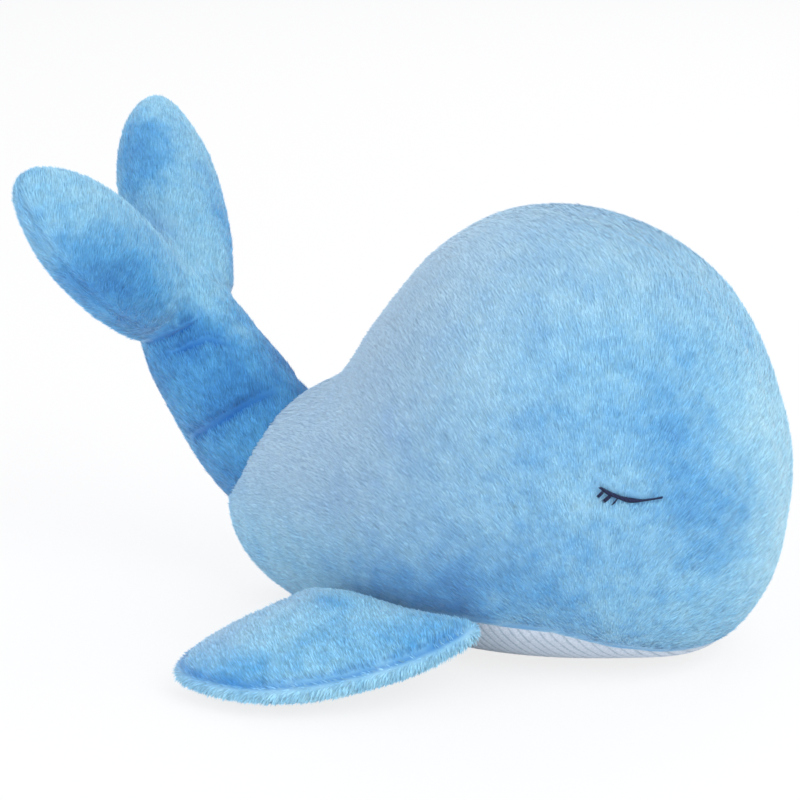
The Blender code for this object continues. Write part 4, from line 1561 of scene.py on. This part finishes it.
@dataclass
class Fin(Limb):
    """A flat pillow of two panels, thin where it is sewn into the belly seam."""

    side: float = -1.0
    length: float = 0.1100
    half_thickness: float = 0.0130
    outline_shares: tuple[tuple[float, float], ...] = (
        (0.49, -0.33), (0.48, -0.14), (0.43, 0.00), (0.35, 0.12), (0.24, 0.24), (0.08, 0.37),
        (-0.09, 0.45), (-0.30, 0.48), (-0.475, 0.45), (-0.545, 0.33), (-0.535, 0.13),
        (-0.49, -0.03), (-0.43, -0.19), (-0.36, -0.33), (-0.09, -0.36), (0.24, -0.35))
    fullness: float = 2.2
    out_share: float = 0.36
    yaw_degrees: float = 13.2
    droop_degrees: float = 12.0
    root_angle_degrees: float = 38.0
    top_angle_degrees: float = 56.0
    puff_height: float = 2.6 * MM
    puff_shares: tuple[float, float, float] = (-0.12, -0.22, 0.15)
    front_lift: float = 1.5 * MM
    seam_height: float = 0.30
    root_radius: float = 0.0018
    cloth: float = 0.0030
    floor_gap: float = 0.0006
    floor_round: float = 0.0030
    seam_depth: float = 0.6 * MM
    seam_shade: float = 0.55
    seam_share: float = 0.10
    under_share: float = 0.13
    top_way: tuple[float, float] = (-0.84, -0.55)
    under_way: tuple[float, float] = (-0.6, -0.8)
    seam_start: tuple[float, float] = (6 * MM, 14 * MM)
    hinge_reach: tuple[float, float] = (3 * MM, 9 * MM)
    under_tint: float = 0.12
    tint_mm: Spots = (
        ((-12.0, 48.0), 15.0, -0.20), ((-28.0, 42.0), 15.0, -0.22), ((8.0, 12.0), 15.0, -0.22),
        ((32.0, -2.0), 14.0, -0.17), ((-6.0, -15.0), 12.0, -0.20), ((46.0, -24.0), 12.0, -0.14),
        ((14.0, -22.0), 12.0, 0.10), ((-22.0, 10.0), 14.0, 0.12))
    # Painted sheen: paler grey patches on the fin's rear edges.
    sheen_and_nap_mm: Spots = (
        ((-52.0, 20.0), 24.0, 0.55), ((-38.0, -18.0), 20.0, 0.40))

    def frame(self) -> tuple[np.ndarray, np.ndarray, np.ndarray]:
        """Find the right fin's own directions.

        Returns:
            Forward along its hinge, outward, and through its thickness.
        """
        yaw, droop = math.radians(self.yaw_degrees), math.radians(self.droop_degrees)
        forward = -hinge("fin_right_flap")[1]
        flat = np.array([-math.sin(yaw), -math.cos(yaw), 0.0])
        outward = flat * math.cos(droop) + np.array([0.0, 0.0, -math.sin(droop)])
        outward = unit(outward - forward * (forward @ outward))
        return forward, outward, np.cross(outward, forward)

    def form(self, n: np.ndarray) -> np.ndarray:
        """Shape the pillow, drawn in by the pile's depth, on the fin's own side.

        Args:
            n: the ball's directions.

        Returns:
            Where each direction goes.
        """
        inset = self.pile_depth
        forward, outward, through = self.frame()
        outline = np.array(self.outline_shares) * (self.length - 2 * inset)
        turn = np.arctan2(n[:, 2], n[:, 0])
        far = ring_reach(outline, turn) * np.hypot(n[:, 0], n[:, 2]) ** (2 / self.fullness)
        ahead, out = far * np.cos(turn), far * np.sin(turn)
        rise = np.sign(n[:, 1]) * np.abs(n[:, 1]) ** (2 / self.fullness)
        rise = (self.half_thickness - inset) * rise
        degrees = np.where(n[:, 1] > 0, self.top_angle_degrees, self.root_angle_degrees)
        slope = np.tan(np.radians(degrees))
        drawn = inset / np.cos(np.radians(degrees))
        least = (2 * self.cloth - inset) / 10
        limit = np.maximum(slope * (out + self.out_share * self.length) - drawn, least)
        rise = rise / np.sqrt(1 + (rise / limit) ** 2)
        puff_ahead, puff_out, puff_size = self.puff_shares
        puff = ((ahead / self.length - puff_ahead) ** 2 + (out / self.length - puff_out) ** 2)
        puff = np.exp(-puff / puff_size ** 2) * smooth_step(n[:, 1], 0.05, 0.7)
        rise = rise + self.puff_height * puff
        root = hinge("fin_right_flap")[0]
        middle = root + outward * (self.out_share * self.length - self.root_radius)
        points = (middle + np.outer(ahead, forward) + np.outer(out, outward)
                  + np.outer(rise, through))
        points[:, 2] += self.front_lift * smooth_step(ahead / self.length, 0.12, 0.46)
        floor = self.floor_gap + inset
        points[:, 2] = floor + soft_floor(points[:, 2] - floor, self.floor_round)
        return points * np.array([1.0, -self.side, 1.0])

    def plan_mm(self, skin: bpy.types.Object) -> np.ndarray:
        """Read the skin's points as places on the fin's plan.

        Args:
            skin: the fin's skin.

        Returns:
            How far forward and outward of the fin's middle each point is, in millimetres.
        """
        forward, outward, _ = self.frame()
        middle = hinge("fin_right_flap")[0] + outward * self.out_share * self.length
        away = places(skin) * np.array([1.0, -self.side, 1.0]) - middle
        return np.stack([away @ forward, away @ outward], -1) / MM

    def build(self, pile: Pile, seed: int) -> None:
        """Make the fin's skin, edge seam and pile, set at the body's fin joint along its sewn edge.

        Args:
            pile: the layer of tufts.
            seed: the number that fixes the tufts' random choices.
        """
        skin, directions = self.skin(self.form)
        edge = np.exp(-((directions[:, 1] - self.seam_height) / self.seam_share) ** 2)
        forward, outward, through = self.frame()
        mirror = np.array([1.0, -self.side, 1.0])
        root = hinge("fin_right_flap")[0] * mirror
        from_root = (places(skin) - root) @ (outward * mirror)
        edge = edge * smooth_step(from_root, *self.seam_start)
        self.draw_in(skin, self.seam_depth * edge)
        low = self.seam_height - self.under_share
        under = 1 - smooth_step(directions[:, 1], low, self.seam_height)
        back = (self.top_way[0] * forward + self.top_way[1] * outward) * mirror
        down = (self.under_way[0] * forward + self.under_way[1] * through) * mirror
        way = np.outer(1 - under, back) + np.outer(under, down)
        plan = self.plan_mm(skin)
        tint = self.under_tint * under + spot_tone(plan, self.tint_mm) * (1 - under)
        # Painted shade along the edge seam.
        self.cover_all(skin, way, self.seam_shade * edge, tint)
        # Painted sheen on the fin's rear edges.
        store(skin, "bloom", spot_tone(plan, self.sheen_and_nap_mm))
        fur = pile.grow(skin, self.name + "_pile", seed)
        self.dress(skin)
        self.hand_over(skin, 0.7)
        self.hand_over(fur, None)
        for piece in (skin, fur):
            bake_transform(piece)


@dataclass
class ClosedEye:
    """A closed eye in satin stitch: a low arc of slanting stitches, with short lashes."""

    body: Body
    side: float = -1.0
    line_shares: tuple[tuple[float, float], ...] = (
        (0.499, 0.070), (0.538, 0.042), (0.582, 0.022), (0.608, 0.0135), (0.637, 0.011),
        (0.669, 0.0135), (0.700, 0.0165))
    lash_shares: tuple[tuple[tuple[float, float], tuple[float, float]], ...] = (
        ((0.512, 0.056), (0.490, 0.030)), ((0.538, 0.040), (0.509, 0.011)),
        ((0.562, 0.029), (0.539, -0.003)))
    lash_strands: tuple[int, ...] = (4, 5, 2)
    line_width: float = 3.2 * MM
    thread: float = 0.42 * MM
    lift: float = 0.35 * MM
    slant_degrees: float = 52.0
    stitch_spacing: float = 0.85
    strand_spacing: float = 0.8
    swell_shares: tuple[float, ...] = (0.50, 0.85, 0.80, 1.05, 0.60, 0.42, 0.48)

    def paths(self) -> list[np.ndarray]:
        """Find the eye's lines on the body's side.

        Returns:
            The arc and then the lashes, each as places in order.
        """
        lines = [self.line_shares, *self.lash_shares]
        return [np.array([self.body.flank_point(a, b, self.lift, self.side) for a, b in line])
                for line in lines]

    def stitch(self) -> bpy.types.Object:
        """Model one stitch: a round-ended thread along +X.

        Returns:
            The stitch, with its middle at the origin.
        """
        deselect()
        bpy.ops.mesh.primitive_cylinder_add(vertices=8, radius=1.0, depth=2.0,
                                            rotation=(0.0, math.pi / 2, 0.0))
        made = bpy.context.object
        bpy.ops.object.transform_apply(location=True, rotation=True, scale=True)
        face_outwards(made)
        soften = made.modifiers.new("soften", "SUBSURF")
        soften.levels = soften.render_levels = 2
        apply_modifiers(made)
        return made

    def build(self) -> None:
        """Lay the stitches along the arc and the lashes and join them into one eye."""
        model = self.stitch()
        base = places(model)
        base[:, 0] /= np.abs(base[:, 0]).max()
        base[:, 1:] /= np.abs(base[:, 1:]).max()
        parts: list[bpy.types.Object] = []
        lines = self.paths()
        arc = open_curve(lines[0], 24)
        step = self.thread * self.stitch_spacing
        lengths = np.concatenate([[0.0], np.cumsum(np.linalg.norm(np.diff(arc, axis=0), axis=1))])
        count = int(lengths[-1] / step)
        for number in range(count + 1):
            at = lengths[-1] * number / count
            place = np.array([np.interp(at, lengths, arc[:, k]) for k in range(3)])
            later = np.array([np.interp(min(at + step, lengths[-1]), lengths, arc[:, k])
                              for k in range(3)])
            before = np.array([np.interp(max(at - step, 0.0), lengths, arc[:, k])
                               for k in range(3)])
            along = unit(later - before)
            share = number / count
            swell = float(line_values(self.swell_shares, np.array([share]))[0])
            width = self.line_width * swell
            parts.append(self.lay_stitch(model, base, place, along, self.slant_degrees, width))
        for line, strands in zip(lines[1:], self.lash_strands):
            along = unit(line[1] - line[0])
            size = float(np.linalg.norm(line[1] - line[0]))
            middle = (line[0] + line[1]) / 2
            for strand in range(strands):
                out = self.outward(middle)
                shift = self.strand_spacing * (strand - (strands - 1) / 2)
                aside = unit(np.cross(out, along)) * (shift * self.thread)
                parts.append(self.lay_stitch(model, base, middle + aside, along, 0.0, size))
        bpy.data.objects.remove(model, do_unlink=True)
        eye = joined(parts)
        side = "right" if self.side < 0 else "left"
        eye.name = "closed_eye_" + side + "_stitching"
        eye.data.name = eye.name
        clothe(eye, ThreadFinish().make())
        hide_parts("eye_" + side)
        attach(eye, "body")
        log.info("%s: %d stitches", eye.name, len(parts))

    def outward(self, place: np.ndarray) -> np.ndarray:
        """Find the direction straight out of the body's side.

        Args:
            place: a place on the side.

        Returns:
            The direction, one unit long.
        """
        local = (place - np.array(self.body.centre)) / self.body.reach
        near = self.body.flank_point(local[0], local[2], 0.0, self.side)
        far = self.body.flank_point(local[0], local[2], 1 * MM, self.side)
        return unit(far - near)

    def lay_stitch(self, model: bpy.types.Object, base: np.ndarray, place: np.ndarray,
                   along: np.ndarray, slant: float, length: float) -> bpy.types.Object:
        """Copy the stitch to a place.

        Args:
            model: the stitch that is copied.
            base: its points, one unit long and one unit thick each way.
            place: the middle of the new stitch.
            along: the direction of the line that it belongs to.
            slant: how far it turns from that line, in degrees.
            length: how long it is.

        Returns:
            The new stitch.
        """
        out = self.outward(place)
        turn = math.radians(slant)
        aside = unit(np.cross(out, along))
        way = unit(along * math.cos(turn) + aside * math.sin(turn))
        across = unit(np.cross(out, way))
        arch = -self.thread * 2.2 * base[:, 0] ** 2
        thin = 1 - 0.25 * base[:, 0] ** 2
        points = (place + np.outer(base[:, 0] * length / 2, way)
                  + np.outer(base[:, 1] * thin * self.thread / 2, across)
                  + np.outer(base[:, 2] * thin * self.thread / 2 + arch, out))
        made = copied(model, "stitch")
        move(made, points)
        return made


# Studio

@dataclass
class Studio:
    """A pale floor, soft lamps and the camera at the photograph's angle."""

    look: Place = (0.0688, 0.0, 0.0938)
    azimuth: float = 22.0
    elevation: float = 17.0
    distance: float = 1.300
    focal_pixels: float = 2826.0
    picture: int = 800
    look_pixel: tuple[float, float] = (548.0, 437.0)
    shift_pixels: tuple[float, float] = (64.0, 16.0)
    sensor: float = 36.0
    floor_size: float = 12.0
    floor_glow: float = 0.80
    room_light: float = 0.74
    lamps: tuple[tuple[str, Place, float, float, str], ...] = (
        ("key_lamp", (1.45, -0.65, 1.35), 1.4, 20.5, "#FFFDF8"),
        ("side_lamp", (-0.8, -1.7, 0.75), 1.4, 11.5, "#F7F7FF"),
        ("back_lamp", (-0.2, 1.5, 1.5), 1.6, 11.0, "#FAF6FF"))

    def camera(self) -> None:
        """Stand the camera where the photograph was taken from."""
        a, e = math.radians(self.azimuth), math.radians(self.elevation)
        back = Vector((math.sin(a) * math.cos(e), -math.cos(a) * math.cos(e), math.sin(e)))
        bpy.ops.object.camera_add()
        camera = bpy.context.object
        camera.name = "portrait_camera"
        camera.location = Vector(self.look) + back * self.distance
        lens = camera.data
        lens.sensor_width = self.sensor
        lens.lens = self.focal_pixels * lens.sensor_width / self.picture
        middle = self.picture / 2
        lens.shift_x = -self.shift_pixels[0] / self.picture
        lens.shift_y = self.shift_pixels[1] / self.picture
        turned = (-back).to_track_quat("-Z", "Y")
        pan = math.atan((self.look_pixel[0] - middle - self.shift_pixels[0]) / self.focal_pixels)
        tilt = math.atan((self.look_pixel[1] - middle - self.shift_pixels[1]) / self.focal_pixels)
        right, up = turned @ Vector((1, 0, 0)), turned @ Vector((0, 1, 0))
        aim = -back - right * math.tan(pan) + up * math.tan(tilt)
        camera.rotation_mode = "QUATERNION"
        camera.rotation_quaternion = aim.normalized().to_track_quat("-Z", "Y")
        lens.dof.use_dof = False
        lens.clip_start, lens.clip_end = 0.05, 50.0
        bpy.context.scene.camera = camera

    def lamp(self, name: str, place: Place, size: float, watts: float, hex_colour: str) -> None:
        """Hang one soft square lamp that faces the toy.

        Args:
            name: the lamp's name.
            place: where it hangs.
            size: the length of its side.
            watts: its power.
            hex_colour: its colour.
        """
        bpy.ops.object.light_add(type="AREA", location=place)
        lamp = bpy.context.object
        lamp.name = name
        lamp.data.size = size
        lamp.data.energy = watts
        lamp.data.color = linear(hex_colour)[:3]
        aim = Vector(self.look) - Vector(place)
        lamp.rotation_mode = "QUATERNION"
        lamp.rotation_quaternion = aim.to_track_quat("-Z", "Y")

    def floor(self) -> None:
        """Lay a pale paper floor, which looks near white beside the white room."""
        deselect()
        bpy.ops.mesh.primitive_plane_add(size=self.floor_size, location=(0.0, 0.0, 0.0))
        ground = bpy.context.object
        ground.name = "studio_floor"
        paper, tree = new_material("white_paper")
        shader = tree.nodes["Principled BSDF"]
        shader.inputs["Base Color"].default_value = linear("#F4F4F4")
        shader.inputs["Roughness"].default_value = 0.9
        path = node(tree, "ShaderNodeLightPath")
        glow = node(tree, "ShaderNodeEmission", None, {"Color": linear("#FFFFFF"), "Strength": 1.0})
        seen = node(tree, "ShaderNodeMath", {0: path.outputs["Is Camera Ray"]},
                    {1: self.floor_glow}, operation="MULTIPLY")
        mixed = node(tree, "ShaderNodeMixShader",
                     {0: seen.outputs[0], 1: shader.outputs[0], 2: glow.outputs[0]})
        tree.links.new(mixed.outputs[0], tree.nodes["Material Output"].inputs["Surface"])
        ground.data.materials.append(paper)

    def world(self) -> None:
        """Fill the room with even white light, and show white behind the toy."""
        world = bpy.data.worlds.new("white_room")
        bpy.context.scene.world = world
        world.use_nodes = True
        tree = world.node_tree
        back = tree.nodes["Background"]
        back.inputs["Color"].default_value = linear("#F2F5FA")
        back.inputs["Strength"].default_value = self.room_light
        white = node(tree, "ShaderNodeBackground", None, {"Color": (1, 1, 1, 1), "Strength": 1.0})
        path = node(tree, "ShaderNodeLightPath")
        seen = node(tree, "ShaderNodeMath",
                    {0: path.outputs["Is Camera Ray"], 1: path.outputs["Is Glossy Ray"]},
                    operation="MAXIMUM")
        through = node(tree, "ShaderNodeMath",
                       {0: seen.outputs[0], 1: path.outputs["Is Transmission Ray"]},
                       operation="MAXIMUM")
        mixed = node(tree, "ShaderNodeMixShader",
                     {0: through.outputs[0], 1: back.outputs[0], 2: white.outputs[0]})
        tree.links.new(mixed.outputs[0], tree.nodes["World Output"].inputs["Surface"])

    def build(self) -> None:
        """Set up the whole studio."""
        self.camera()
        self.floor()
        self.world()
        for lamp in self.lamps:
            self.lamp(*lamp)
        bpy.context.scene.view_settings.view_transform = "Standard"


def main() -> None:
    """Build the toy piece by piece, then the studio round it."""
    logging.basicConfig(level=logging.INFO, format="%(message)s")
    Studio().build()
    body = Body("whale_body", BLUE_PLUSH, Slot.BLUE_PLUSH, (), cuts=55)
    eyes = [ClosedEye(body, -1.0), ClosedEye(body, 1.0)]
    paths = [path for eye in eyes for path in eye.paths()]
    body.build(Pile(BLUE_PLUSH, width=0.58 * MM, per_square_mm=1.58), paths)
    for eye in eyes:
        eye.build()
    tail = Tail("tail", DEEP_PLUSH, Slot.DEEP_PLUSH, (), cuts=30)
    tail.build(Pile(DEEP_PLUSH), Pile(BLUE_PLUSH))
    for side, sign, seed in (("right", -1.0, 60), ("left", 1.0, 70)):
        kinds = tuple("fin_" + side + "_" + kind for kind in ("top", "under", "fill"))
        fin = Fin("fin_" + side + "_pillow", FIN_PLUSH, Slot.BLUE_PLUSH, kinds, cuts=36,
                  side=sign)
        fin.build(Pile(FIN_PLUSH), seed)


if __name__ == "__main__":
    main()
